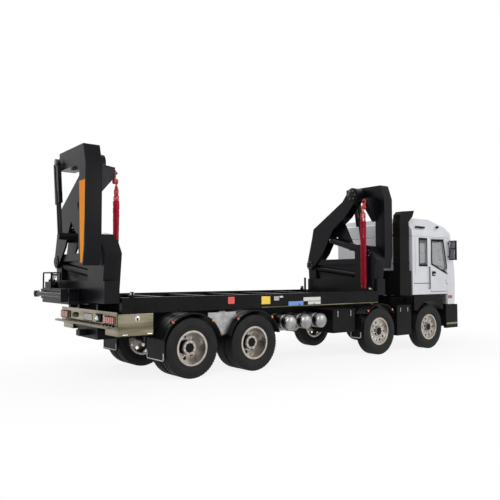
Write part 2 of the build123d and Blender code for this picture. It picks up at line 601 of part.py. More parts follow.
# Crane outlines, as (Y, Z) points
BOOM_SIDE = [(1150, 2130), (975, 2760), (930, 2960), (-90, 3570), (-300, 3830), (-515, 3575)]
BOOM_SIDE += [(-160, 3190), (245, 2910), (615, 2310), (935, 1985)]
BOOM_OUTER_WEB = [(1070, 2420), (975, 2760), (930, 2960), (-90, 3570)]
BOOM_OUTER_WEB += [(-110, 3535), (895, 2935), (935, 2750), (1030, 2410)]
BOOM_INNER_WEB = [(245, 2910), (-160, 3190), (-135, 3225), (270, 2945)]
HEEL = [(340, 2900), (80, 3110), (-235, 2500), (-235, 2385), (-110, 2385), (360, 2780)]
ARM_SIDE = [(60, 3890), (-1010, 3890), (-1120, 3560), (-1120, 2250), (-1060, 1950), (-890, 1950)]
ARM_SIDE += [(-850, 2250), (-850, 3480), (-700, 3580), (60, 3580)]
TOWER = [(-1093, BASE_TOP), (-1150, 2150), (-920, 2460), (-600, 2510), (-470, 2440), (-470, BASE_TOP)]
TOWER_COVER = [(-1093, BASE_TOP), (-1150, 2150), (-920, 2460), (-620, 2507)]
TOWER_COVER += [(-620, 2480), (-905, 2435), (-1120, 2145), (-1063, BASE_TOP)]
WING = [(-1060, BED_TOP + 10), (-1150, 2150), (-985, 2372)]
WING += [(-965, 2357), (-1120, 2145), (-1030, BED_TOP + 10)]
FOOT_LUG = [(880, BASE_TOP), (1140, BASE_TOP), (1160, 2050), (1110, 2140), (960, 2140), (900, 2060)]
TOP_BEAM = [(-490, 2050), (920, 2050), (920, 2180), (-490, 2180)]
WEB_WALL = 20
BRACE_RADIUS = 70
EYE_RADIUS = 85
FOOT_RADIUS = 130
KNUCKLE_RADIUS = 170

for crane, way, stab_off, swings in CRANES:
    def x_at(off):
        """Place along the truck at a distance from the bay's middle."""
        return BAY_X + way * off

    def layer(start, end):
        """Crane plane midway between two distances from the bay's middle."""
        return Plane.YZ.offset(x_at((start + end) / 2))

    def pin_bar(spot, start, end, radius, mode=Mode.ADD):
        """Pin along the truck at a (Y, Z) spot between two distances."""
        bar((x_at(start), *spot), (x_at(end), *spot), radius, mode=mode)

    cheeks = [(BOOM_IN, BOOM_IN + BOOM_PLATE), (BOOM_OUT - BOOM_PLATE, BOOM_OUT)]
    inside = (cheeks[0][1], cheeks[1][0])
    lug = (inside[0] + MOVE_GAP, inside[1] - MOVE_GAP)
    boom_middle = (BOOM_IN + BOOM_OUT) / 2
    stab_x = x_at(stab_off)
    stab_span = (stab_x - STAB_HALF_X, stab_x + STAB_HALF_X)
    housing_y = (-250, LEG_Y - LEG_TUBE_RADIUS - 10)

    with BuildPart() as base:
        block((x_at(BOOM_IN - 120), x_at(BOOM_OUT)), (-500, 500), (BED_RAIL_TOP, BED_RAIL_TOP + 40))
        block((x_at(BOOM_IN), x_at(BOOM_OUT)), (-1150, 1140), (BED_RAIL_TOP + 40, BASE_TOP))
        for cheek in cheeks:
            prism(layer(*cheek), TOWER, BOOM_PLATE)
            pin_bar(LIFT_BASE, *cheek, EYE_RADIUS + 25)
        prism(layer(*inside), TOWER_COVER, inside[1] - inside[0])
        prism(layer(WING_IN, BOOM_IN), WING, BOOM_IN - WING_IN)
        prism(layer(*lug), FOOT_LUG, lug[1] - lug[0])
        prism(layer(*lug), TOP_BEAM, lug[1] - lug[0])
        block((x_at(BOOM_IN), x_at(BOOM_OUT)), (-560, -470), (2050, 2180))
        pin_bar(LIFT_BASE, BOOM_IN, BOOM_OUT, PIN_RADIUS)
        pin_bar(FOOT, BOOM_IN, BOOM_OUT, PIN_RADIUS)
        web_x = (x_at(boom_middle - WEB_WALL / 2), x_at(boom_middle + WEB_WALL / 2))
        block(web_x, (-480, 900), (BASE_TOP - 10, TOP_BEAM[0][1] + 10))
        bar((x_at(boom_middle), 900, 1960), (x_at(boom_middle), -480, 1800), BRACE_RADIUS)
        block((x_at(BOOM_OUT - 20), stab_x), (housing_y[0], 700), (BED_RAIL_TOP, STAB_LOW))
        block(stab_span, housing_y, (BED_RAIL_TOP, STAB_HIGH))
        hollow_x = (stab_span[0] + STAB_WALL, stab_span[1] - STAB_WALL)
        hollow_z = (STAB_LOW + STAB_WALL, STAB_HIGH - STAB_WALL)
        block(hollow_x, (housing_y[0] - 10, housing_y[1] + 10), hollow_z, mode=Mode.SUBTRACT)
    save(base, f"crane_{crane}_base")

    with BuildPart() as lower_boom:
        for cheek in cheeks:
            prism(layer(*cheek), BOOM_SIDE, BOOM_PLATE)
            pin_bar(FOOT, *cheek, FOOT_RADIUS)
        prism(layer(*inside), BOOM_OUTER_WEB, inside[1] - inside[0])
        prism(layer(*inside), BOOM_INNER_WEB, inside[1] - inside[0])
        pin_bar(KNUCKLE, BOOM_IN, BOOM_OUT, KNUCKLE_RADIUS)
        prism(layer(*cheeks[1]), HEEL, BOOM_PLATE)
        pin_bar(FOLD_FOOT, BOOM_OUT - BOOM_PLATE, FOLD_OFF - FOLD_RADIUS, 60)
        pin_bar(FOLD_FOOT, FOLD_OFF - FOLD_RADIUS, FOLD_OFF + 35, 30)
        pin_bar(FOOT, BOOM_IN - 5, BOOM_OUT + 5, PIN_RADIUS + FIT, mode=Mode.SUBTRACT)
        pin_bar(KNUCKLE, BOOM_IN - 5, BOOM_OUT + 5, KNUCKLE_PIN_RADIUS + FIT, mode=Mode.SUBTRACT)
    save(lower_boom, f"crane_{crane}_lower_boom")

    with BuildPart() as upper_boom:
        prism(layer(ARM_IN, ARM_OUT), ARM_SIDE, ARM_OUT - ARM_IN)
        pin_bar(KNUCKLE, BOOM_IN, ARM_IN, KNUCKLE_PIN_RADIUS)
        pin_bar(KNUCKLE, BOOM_OUT + MOVE_GAP, ARM_IN, KNUCKLE_PIN_RADIUS + 40)
        bracket = [(ARM_IN + 20, 3620), (HANGER_OFF, 3580), (HANGER_OFF, 3420)]
        bracket += [(ARM_IN, 3050), (ARM_IN + 20, 3050)]
        prism(Plane.XZ.offset(825), [(x_at(off), z) for off, z in bracket], 150)
        pin_bar((SLING_Y, SLING_PIN_Z), HANGER_OFF, SLING_OFF - 13, 22)
    save(upper_boom, f"crane_{crane}_upper_boom")

    length = (Vector(*LIFT_EYE) - Vector(*LIFT_BASE)).length
    lift_along = (EYE_RADIUS - 10, 110, length - EYE_RADIUS - 15, length)
    lift_ends = [along(LIFT_BASE, LIFT_EYE, d) for d in lift_along]
    lift_points = [(x_at(boom_middle), *spot) for spot in lift_ends]
    with BuildPart() as lift_barrel:
        bar(lift_points[0], lift_points[2], LIFT_RADIUS)
        pin_bar(LIFT_BASE, lug[0] + 10, lug[1] - 10, EYE_RADIUS)
        pin_bar(LIFT_BASE, BOOM_IN, BOOM_OUT, PIN_RADIUS + FIT, mode=Mode.SUBTRACT)
        bar(lift_points[1], lift_points[3], LIFT_ROD_RADIUS + FIT, mode=Mode.SUBTRACT)
    save(lift_barrel, f"crane_{crane}_lift_barrel")

    with BuildPart() as lift_rod:
        bar((x_at(boom_middle), *along(LIFT_BASE, LIFT_EYE, 120)), lift_points[3], LIFT_ROD_RADIUS)
        pin_bar(LIFT_EYE, boom_middle - 65, boom_middle + 65, EYE_RADIUS)
        pin_bar(LIFT_EYE, boom_middle - 80, boom_middle + 80, PIN_RADIUS)
    save(lift_rod, f"crane_{crane}_lift_rod")

    fold_barrel_ends = [along(FOLD_FOOT, FOLD_EYE, d) for d in (45, 60, 770)]
    fold_points = [(x_at(FOLD_OFF), *spot) for spot in fold_barrel_ends]
    with BuildPart() as fold_barrel:
        bar(fold_points[0], fold_points[2], FOLD_RADIUS)
        pin_bar(FOLD_FOOT, FOLD_OFF - FOLD_RADIUS + RUN, FOLD_OFF + 34, 55)
        pin_bar(FOLD_FOOT, FOLD_OFF - FOLD_RADIUS, FOLD_OFF + 40, 30 + FIT, mode=Mode.SUBTRACT)
        bore = [(x_at(FOLD_OFF), *along(FOLD_FOOT, FOLD_EYE, d)) for d in (65, 790)]
        bar(bore[0], bore[1], FOLD_ROD_RADIUS + FIT, mode=Mode.SUBTRACT)
    save(fold_barrel, f"crane_{crane}_fold_barrel")

    with BuildPart() as fold_rod:
        rod = [(x_at(FOLD_OFF), *along(FOLD_FOOT, FOLD_EYE, d)) for d in (530, 1300)]
        bar(rod[0], rod[1], FOLD_ROD_RADIUS)
        pin_bar(FOLD_EYE, FOLD_OFF - 30, FOLD_OFF + 30, 50)
    save(fold_rod, f"crane_{crane}_fold_rod")

    beam_x = (hollow_x[0] + RUN, hollow_x[1] - RUN)
    beam_z = (hollow_z[0] + RUN, hollow_z[1] - RUN)
    leg_low = LEG_DROP + 10
    leg_top = leg_low + LEG_DROP + 230
    leg_x = stab_x + way * LEG_SIDE
    with BuildPart() as stabiliser_beam:
        block(beam_x, (housing_y[0] + 60, LEG_Y), beam_z)
        if swings:
            block(beam_x, (LEG_Y - LEG_EYE_RADIUS, LEG_Y + LEG_EYE_RADIUS), beam_z)
            pin_end = leg_x + way * (LEG_BAR_RADIUS + 10)
            bar((stab_x, LEG_Y, LEG_HINGE_Z), (pin_end, LEG_Y, LEG_HINGE_Z), LEG_PIN_RADIUS)
        else:
            bar((stab_x, LEG_Y, leg_low + 110), (stab_x, LEG_Y, STAB_HIGH), LEG_TUBE_RADIUS)
            bore = [(stab_x, LEG_Y, leg_low), (stab_x, LEG_Y, leg_top + 10)]
            bar(bore[0], bore[1], LEG_RADIUS + FIT, mode=Mode.SUBTRACT)
    save(stabiliser_beam, f"crane_{crane}_stabiliser_beam")

    with BuildPart() as stabiliser_leg:
        if swings:
            leg_end = LEG_Y - LEG_LONG
            bar((leg_x, LEG_Y, LEG_HINGE_Z), (leg_x, leg_end, LEG_HINGE_Z), LEG_BAR_RADIUS)
            eye = [(leg_x + k * LEG_BAR_RADIUS, LEG_Y, LEG_HINGE_Z) for k in (-1, 1)]
            bar(eye[0], eye[1], LEG_EYE_RADIUS)
            bar(eye[0], eye[1], LEG_PIN_RADIUS + FIT, mode=Mode.SUBTRACT)
            pad_x = (leg_x - PAD_HALF_X, leg_x + PAD_HALF_X)
            pad_z = (LEG_HINGE_Z - PAD_RADIUS, LEG_HINGE_Z + PAD_RADIUS)
            block(pad_x, (leg_end, leg_end + PAD_WALL), pad_z)
        else:
            bar((stab_x, LEG_Y, leg_low), (stab_x, LEG_Y, leg_top), LEG_RADIUS)
            bar((stab_x, LEG_Y, leg_low), (stab_x, LEG_Y, leg_low + PAD_WALL), PAD_RADIUS)
    save(stabiliser_leg, f"crane_{crane}_stabiliser_leg")

    with BuildPart() as shackle:
        block([x_at(off) for off in SHACKLE_SPAN], (SLING_Y - 40, SLING_Y + 40), (LINK_PIN_Z, SLING_PIN_Z))
        pin_bar((SLING_Y, SLING_PIN_Z), *SHACKLE_SPAN, 55)
        pin_bar((SLING_Y, LINK_PIN_Z), *SHACKLE_SPAN, 45)
        pin_bar((SLING_Y, LINK_PIN_Z), SHACKLE_SPAN[0], SLING_OFF - 20, 18)
        pin_bar((SLING_Y, SLING_PIN_Z), SLING_OFF + 12, HANGER_OFF, 22 + FIT, mode=Mode.SUBTRACT)
    save(shackle, f"crane_{crane}_shackle")

    with BuildPart() as sling:
        pin_bar((SLING_Y, LINK_PIN_Z), *SLING_RING, 48)
        block([x_at(off) for off in SLING_RING], (SLING_Y - 30, SLING_Y + 30), (3230, LINK_PIN_Z))
        pin_bar((SLING_Y, LINK_PIN_Z), SLING_OFF - 28, SLING_OFF + 22, 18 + FIT, mode=Mode.SUBTRACT)
        block((x_at(SLING_OFF - 25), x_at(SLING_OFF + 25)), (SLING_Y - 80, SLING_Y + 80), (3200, 3240))
        for k in (-1, 1):
            levels = (3210, 3050, SLING_LOW + 90, SLING_LOW)
            strand = [(x_at(SLING_OFF), SLING_Y + k * 46, z) for z in levels]
            bar(strand[0], strand[1], 20)
            bar(strand[1], strand[2], STRAND_RADIUS)
            bar(strand[2], strand[3], 24)
    save(sling, f"crane_{crane}_sling")
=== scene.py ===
"""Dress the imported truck-mounted side lifter: finishes, wheels, cab, cranes, bed, stage and camera."""

from __future__ import annotations

import json
import logging
import math
from dataclasses import dataclass, field
from enum import Enum
from typing import Sequence

import bmesh
import bpy
from mathutils import Matrix, Vector

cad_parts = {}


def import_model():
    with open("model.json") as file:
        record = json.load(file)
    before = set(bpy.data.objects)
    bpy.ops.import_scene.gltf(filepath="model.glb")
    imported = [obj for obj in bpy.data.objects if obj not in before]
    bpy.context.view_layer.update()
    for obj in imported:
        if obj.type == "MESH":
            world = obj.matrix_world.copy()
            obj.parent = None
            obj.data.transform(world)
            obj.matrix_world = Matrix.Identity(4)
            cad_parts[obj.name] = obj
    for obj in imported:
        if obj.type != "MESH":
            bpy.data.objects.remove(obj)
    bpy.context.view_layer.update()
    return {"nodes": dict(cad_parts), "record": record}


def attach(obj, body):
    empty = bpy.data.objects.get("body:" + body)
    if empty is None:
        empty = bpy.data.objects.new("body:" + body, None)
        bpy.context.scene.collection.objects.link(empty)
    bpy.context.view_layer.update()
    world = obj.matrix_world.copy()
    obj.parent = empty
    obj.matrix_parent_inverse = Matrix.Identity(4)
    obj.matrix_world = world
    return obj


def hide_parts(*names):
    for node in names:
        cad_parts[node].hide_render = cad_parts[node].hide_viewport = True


LOG = logging.getLogger("side_lifter")
Pair = tuple[float, float]
Point = tuple[float, float, float]
Colour = tuple[float, float, float]
ORIGIN: Point = (0.0, 0.0, 0.0)
MERGE = 1e-5  # metres within which a mesh's points become one
FLAT = math.radians(1.0)  # angle below which a CAD mesh's facets are joined
CRISP = 35.0  # degrees from which a made piece's edge stays sharp
CRISP_CAD = 32.0  # the same for a round-edged copy of a CAD node


class Axis(Enum):
    """The three directions that a turned or extruded piece can follow."""

    X = 0
    Y = 1
    Z = 2


class Side(Enum):
    """The truck's two sides, as the sign of Y."""

    LEFT = 1
    RIGHT = -1

    @property
    def tag(self) -> str:
        """The side as in the CAD names."""
        return self.name.lower()


def add_node(tree: bpy.types.NodeTree, kind: str, settings: dict, sockets: dict) -> bpy.types.Node:
    """Add a node to a tree.

    Args:
        tree: A shader or geometry tree.
        kind: The node's type name.
        settings: Attributes of the node, set first.
        sockets: Values or links of its inputs, by name or index.

    Returns:
        The node.
    """
    node = tree.nodes.new(kind)
    for key, value in settings.items():
        setattr(node, key, value)
    for key, value in sockets.items():
        if isinstance(value, bpy.types.NodeSocket):
            tree.links.new(value, node.inputs[key])
        else:
            node.inputs[key].default_value = value
    return node


class Value:
    """A shader socket that takes part in arithmetic."""

    def __init__(self, graph: "Graph", socket: bpy.types.NodeSocket) -> None:
        """Wrap an output socket of a graph."""
        self.graph = graph
        self.socket = socket

    def _math(self, operation: str, *terms: "Value | float") -> "Value":
        """Add a Math node over the terms."""
        return self.graph.node("ShaderNodeMath", {"operation": operation}, dict(enumerate(terms)))

    def __add__(self, other: "Value | float") -> "Value":
        """Sum."""
        return self._math("ADD", self, other)

    __radd__ = __add__

    def __sub__(self, other: "Value | float") -> "Value":
        """Difference."""
        return self._math("SUBTRACT", self, other)

    def __rsub__(self, other: float) -> "Value":
        """Difference from a number."""
        return self._math("SUBTRACT", other, self)

    def __mul__(self, other: "Value | float") -> "Value":
        """Product."""
        return self._math("MULTIPLY", self, other)

    __rmul__ = __mul__

    def between(self, low: float, high: float) -> "Value":
        """Ramp from 0 at low to 1 at high."""
        sockets = {"Value": self, "From Min": low, "From Max": high}
        return self.graph.node("ShaderNodeMapRange", {"clamp": True}, sockets, "Result")


class Graph:
    """One material's node tree around a Principled shader."""

    def __init__(self, name: str) -> None:
        """Start a material with a shader and an output."""
        self.material = bpy.data.materials.new(name)
        self.material.use_nodes = True
        self.tree = self.material.node_tree
        self.shader = self.tree.nodes["Principled BSDF"]

    def node(self, kind: str, settings: dict, sockets: dict, output: str | int = 0) -> Value:
        """Add any node.

        Args:
            kind: The node's type name.
            settings: Attributes of the node, set first.
            sockets: Numbers or Values of its inputs, by name or index.
            output: The output to return.

        Returns:
            The wrapped output socket.
        """
        plain = {key: value.socket if isinstance(value, Value) else value for key, value in sockets.items()}
        return Value(self, add_node(self.tree, kind, settings, plain).outputs[output])

    def coords(self) -> Value:
        """Object coordinates, which are the truck's own frame."""
        return self.node("ShaderNodeTexCoord", {}, {}, "Object")

    def part(self, vector: Value, axis: Axis) -> Value:
        """One component of a vector."""
        return self.node("ShaderNodeSeparateXYZ", {}, {0: vector}, axis.value)

    def wave(self, axis: Axis, rate: float) -> Value:
        """A sine along an axis, with the rate in radians per metre."""
        phase = self.part(self.coords(), axis) * rate
        return self.node("ShaderNodeMath", {"operation": "SINE"}, {0: phase})

    def noise(self, scale: float, detail: float = 3.0, stretch: Point = (1, 1, 1)) -> Value:
        """Noise on Object coordinates, from 0 to 1.

        Args:
            scale: Features per metre.
            detail: Octaves.
            stretch: Scale along each axis before the noise.

        Returns:
            The noise value.
        """
        moved = self.node("ShaderNodeMapping", {}, {"Vector": self.coords(), "Scale": stretch})
        return self.node("ShaderNodeTexNoise", {}, {"Vector": moved, "Scale": scale, "Detail": detail})

    def mix(self, factor: Value | float, first: Colour | Value, second: Colour | Value) -> Value:
        """Blend two colours by a factor."""
        settings = {"data_type": "RGBA", "clamp_factor": True}
        ends = [c if isinstance(c, Value) else (*c, 1.0) for c in (first, second)]
        return self.node("ShaderNodeMix", settings, {0: factor, 6: ends[0], 7: ends[1]}, 2)

    def bump(self, height: Value, strength: float, distance: float = 0.002) -> None:
        """Send a height to the shader's normal."""
        sockets = {"Height": height, "Strength": strength, "Distance": distance}
        self.link("Normal", self.node("ShaderNodeBump", {}, sockets, "Normal"))

    def link(self, name: str, value: Value) -> None:
        """Feed a socket of the shader."""
        self.tree.links.new(value.socket, self.shader.inputs[name])

    def set(self, **numbers: float | tuple) -> None:
        """Set plain numbers on the shader; underscores stand for spaces in socket names."""
        for key, number in numbers.items():
            self.shader.inputs[key.replace("_", " ")].default_value = number

    def road_dust(self, top: float) -> Value:
        """Dust that thins out with height and gathers in patches."""
        height = self.part(self.coords(), Axis.Z)
        return (1.0 - height.between(0.2, top)) * self.noise(7.0, 5.0).between(0.35, 0.8)


@dataclass(frozen=True)
class Finish:
    """A material's name and recipe."""

    name: str

    def dress(self, graph: Graph) -> None:
        """Fill the material's graph; each kind of finish has its own recipe."""
        raise NotImplementedError

    def build(self) -> bpy.types.Material:
        """Make the material."""
        graph = Graph(self.name)
        self.dress(graph)
        return graph.material


@dataclass(frozen=True)
class Paint(Finish):
    """Gloss paint with a cloudy shade, orange peel, scuffs and road dust."""

    colour: Colour
    shade: Colour
    roughness: float = 0.28
    metallic: float = 0.0
    coat: float = 0.6
    dust: Colour = (0.20, 0.18, 0.16)
    dust_amount: float = 0.25
    dust_top: float = 1.6
    peel: float = 0.05
    specular: float = 0.5

    def dress(self, graph: Graph) -> None:
        """Mix shade, dust, scuffs and peel."""
        cloud = graph.noise(1.3, 4.0).between(0.3, 0.7)
        colour = graph.mix(cloud, self.shade, self.colour)
        dirt = graph.road_dust(self.dust_top) * self.dust_amount
        graph.link("Base Color", graph.mix(dirt, colour, self.dust))
        scuff = graph.noise(60.0, 4.0, (1, 1, 0.3)).between(0.45, 0.75)
        graph.link("Roughness", scuff * 0.10 + dirt * 0.5 + self.roughness)
        graph.set(Metallic=self.metallic, Coat_Weight=self.coat, Coat_Roughness=0.08,
                  Specular_IOR_Level=self.specular)
        graph.bump(graph.noise(220.0, 2.0), self.peel)


@dataclass(frozen=True)
class Metal(Finish):
    """Bare metal, from mirror polish to brushed."""

    colour: Colour
    roughness: float = 0.10
    smear: float = 0.12
    grain: Point = (1, 1, 1)
    grain_scale: float = 40.0
    dust_amount: float = 0.3
    # Stretch of the patch noise; on the polished finish it flattens the patches into horizontal bands of
    # painted reflection.
    cloud: Point = (1, 1, 1)
    # The second tone; on the polished finish a dark olive painted reflection of the ground.
    dull: Colour | None = None
    dust: Colour = (0.16, 0.13, 0.10)

    def dress(self, graph: Graph) -> None:
        """Mix patches of a second tone, dust and brushed streaks; on most metals the patches are tarnished
        metal, on the polished finish a painted reflection of bright sky above dark ground in horizontal
        bands.
        """
        dirt = graph.road_dust(1.2) * self.dust_amount
        # Patches of the second tone: tarnished metal on most finishes; on the polished finish, banded flat
        # by its stretch, a painted reflection of sky and ground.
        tarnish_and_reflection = graph.noise(9.0, 5.0, self.cloud).between(0.35, 0.7)
        dull = self.dull or tuple(c * 0.8 for c in self.colour)
        shell = graph.mix(tarnish_and_reflection, self.colour, dull)
        graph.link("Base Color", graph.mix(dirt, shell, self.dust))
        streak = graph.noise(self.grain_scale, 4.0, self.grain)
        graph.link("Roughness", streak * self.smear + dirt * 0.4 + self.roughness)
        graph.link("Metallic", 1.0 - dirt * 0.8)
        graph.bump(streak, 0.04)


@dataclass(frozen=True)
class Rubber(Finish):
    """Tyre or hose rubber with a fine grain and dry dust."""

    colour: Colour = (0.0055, 0.0055, 0.0058)
    dust: Colour = (0.022, 0.020, 0.019)

    def dress(self, graph: Graph) -> None:
        """Mix dust patches and a fine grain."""
        patch = graph.noise(5.0, 6.0).between(0.42, 0.75)
        graph.link("Base Color", graph.mix(patch * 0.35, self.colour, self.dust))
        graph.link("Roughness", graph.noise(45.0, 3.0) * 0.25 + 0.52)
        graph.set(Specular_IOR_Level=0.22)
        graph.bump(graph.noise(260.0, 3.0), 0.25)


@dataclass(frozen=True)
class Plastic(Finish):
    """Moulded plastic with a fine leather grain."""

    colour: Colour
    roughness: float = 0.45
    grain: float = 0.12
    dust_amount: float = 0.3
    specular: float = 0.5
    dust: Colour = (0.17, 0.15, 0.13)
    cells: float = 420.0

    def dress(self, graph: Graph) -> None:
        """Mix fading, dust and leather cells."""
        dirt = graph.road_dust(1.4) * self.dust_amount
        faded = tuple(c * 1.5 for c in self.colour)
        tone = graph.mix(graph.noise(3.0, 4.0), self.colour, faded)
        graph.link("Base Color", graph.mix(dirt, tone, self.dust))
        graph.link("Roughness", graph.noise(80.0, 2.0) * 0.12 + self.roughness)
        sockets = {"Vector": graph.coords(), "Scale": self.cells}
        cells = graph.node("ShaderNodeTexVoronoi", {}, sockets, "Distance")
        graph.set(Specular_IOR_Level=self.specular)
        graph.bump(cells, self.grain, 0.001)


@dataclass(frozen=True)
class Lens(Finish):
    """Moulded lamp lens with optical ribs over a bright backing."""

    colour: Colour
    ribs: float = 160.0
    glow: float = 0.06

    def dress(self, graph: Graph) -> None:
        """Run ribs across a glowing lens."""
        wave = graph.wave(Axis.Y, self.ribs)
        deep = tuple(c * 0.55 for c in self.colour)
        graph.link("Base Color", graph.mix(wave.between(-1, 1), deep, self.colour))
        graph.link("Roughness", graph.noise(50.0) * 0.08 + 0.10)
        graph.set(Coat_Weight=0.8, Emission_Color=(*self.colour, 1.0), Emission_Strength=self.glow)
        graph.bump(wave, 0.15, 0.003)


@dataclass(frozen=True)
class Glazing(Finish):
    """Tinted glass that shows what is behind it, with a faint film of dust."""

    tint: Colour = (0.16, 0.17, 0.18)
    dust: Colour = (0.4, 0.42, 0.44)
    opacity: float = 0.30

    def dress(self, graph: Graph) -> None:
        """Lay a film of dust over a see-through tint."""
        film = graph.noise(6.0, 4.0).between(0.4, 0.9)
        graph.link("Base Color", graph.mix(film * 0.10, self.tint, self.dust))
        graph.link("Alpha", film * 0.08 + self.opacity)
        graph.link("Roughness", film * 0.05 + 0.02)
        graph.set(Specular_IOR_Level=0.9)


@dataclass(frozen=True)
class Webbing(Finish):
    """Woven sleeve cloth with a ribbed weave and rubbed patches."""

    colour: Colour = (0.34, 0.008, 0.024)
    worn: Colour = (0.19, 0.006, 0.018)
    weave: float = 900.0

    def dress(self, graph: Graph) -> None:
        """Mix rubbed patches and the weave."""
        rub = graph.noise(14.0, 5.0, (1, 1, 0.35)).between(0.4, 0.75)
        graph.link("Base Color", graph.mix(rub, self.colour, self.worn))
        rise = graph.wave(Axis.Z, self.weave)
        graph.link("Roughness", rub * 0.1 + 0.75)
        graph.set(Specular_IOR_Level=0.15)
        graph.bump(rise + graph.noise(120.0, 3.0), 0.3)


FINISHES: dict[str, Finish] = {
    "cab": Paint("silver_cab_paint", (0.62, 0.62, 0.63), (0.55, 0.55, 0.565), 0.34, 0.10, 0.4,
                 dust_top=2.0),
    "crane": Paint("charcoal_crane_paint", (0.0060, 0.0054, 0.0078), (0.0026, 0.0024, 0.0034), 0.28,
                   coat=0.0, dust_amount=0.03, specular=0.12),
    "frame": Paint("black_frame_paint", (0.0040, 0.0040, 0.0045), (0.0018, 0.0018, 0.0020), 0.32,
                   coat=0.0, dust_amount=0.04, specular=0.10),
    "orange": Paint("orange_stripe_paint", (0.90, 0.31, 0.018), (0.82, 0.25, 0.010), 0.5, coat=0.0,
                    specular=0.12),
    "red_plate": Paint("red_plate_paint", (0.72, 0.05, 0.03), (0.62, 0.04, 0.03), 0.4),
    "yellow_plate": Paint("yellow_plate_paint", (0.80, 0.52, 0.02), (0.72, 0.45, 0.02), 0.4),
    "blue_plate": Paint("blue_plate_paint", (0.12, 0.24, 0.58), (0.09, 0.19, 0.48), 0.4),
    "white_plate": Paint("white_plate_paint", (0.62, 0.60, 0.57), (0.52, 0.50, 0.47), 0.45),
    "grey_plate": Paint("grey_plate_paint", (0.34, 0.36, 0.38), (0.27, 0.29, 0.31), 0.45),
    "engine": Paint("engine_iron_paint", (0.030, 0.031, 0.033), (0.015, 0.016, 0.017), 0.6, 0.2, 0.0,
                    specular=0.3),
    # Its bright tone and dark olive bands are a painted reflection, sky above and ground below.
    "polished": Metal("polished_aluminium", (0.32, 0.285, 0.20), 0.06, 0.08, (1, 1, 6),
                      cloud=(0.12, 0.12, 0.9), dull=(0.095, 0.088, 0.046)),
    "tank": Metal("satin_tank_shell", (0.38, 0.38, 0.38), 0.34, 0.12, (1, 8, 1),
                  dull=(0.24, 0.23, 0.23)),
    "rim": Metal("alloy_rim", (0.52, 0.48, 0.44), 0.24, 0.16, (1, 6, 1), dust_amount=0.25,
                 dull=(0.36, 0.33, 0.30)),
    "chrome": Metal("chromed_rod", (0.70, 0.70, 0.72), 0.08, 0.06, (1, 1, 1), 80.0, 0.1),
    "dark_rod": Metal("blackened_rod", (0.10, 0.10, 0.12), 0.16, 0.06, (1, 1, 1), 80.0, 0.1),
    "steel": Metal("bare_steel", (0.30, 0.29, 0.28), 0.35, 0.2),
    "tyre": Rubber("tyre_rubber"),
    "hose": Rubber("hose_rubber", (0.006, 0.006, 0.0065), (0.012, 0.012, 0.012)),
    "plastic": Plastic("black_moulding", (0.0036, 0.0036, 0.0040), 0.36, dust_amount=0.03, specular=0.08),
    "trim": Plastic("dark_cab_trim", (0.012, 0.012, 0.013), 0.5, dust_amount=0.1, specular=0.35),
    "seat": Plastic("seat_cloth", (0.045, 0.047, 0.055), 0.8, 0.3),
    "glass": Glazing("tinted_glass"),
    "mirror": Metal("mirror_glass", (0.75, 0.78, 0.80), 0.02, 0.02, dust_amount=0.05),
    "red_lens": Lens("red_lamp_lens", (0.62, 0.015, 0.015)),
    "amber_lens": Lens("amber_lamp_lens", (0.85, 0.26, 0.02)),
    "clear_lens": Lens("clear_lamp_lens", (0.72, 0.74, 0.76), 220.0, 0.03),
    "sleeve": Webbing("red_sling_sleeve"),
    "link": Paint("red_chain_paint", (0.52, 0.03, 0.03), (0.36, 0.02, 0.02), 0.45, 0.1, 0.2),
}


class Finishes:
    """Materials by finish name, each made once."""

    made: dict[str, bpy.types.Material] = {}

    @classmethod
    def get(cls, name: str) -> bpy.types.Material:
        """Give a finish's material."""
        if name not in cls.made:
            cls.made[name] = FINISHES[name].build()
        return cls.made[name]


def circle(steps: int, shift: float = 0.0) -> list[Pair]:
    """Cosine and sine of even steps round a circle, shifted by a share of a step."""
    turns = [2 * math.pi * (step + shift) / steps for step in range(steps)]
    return [(math.cos(turn), math.sin(turn)) for turn in turns]


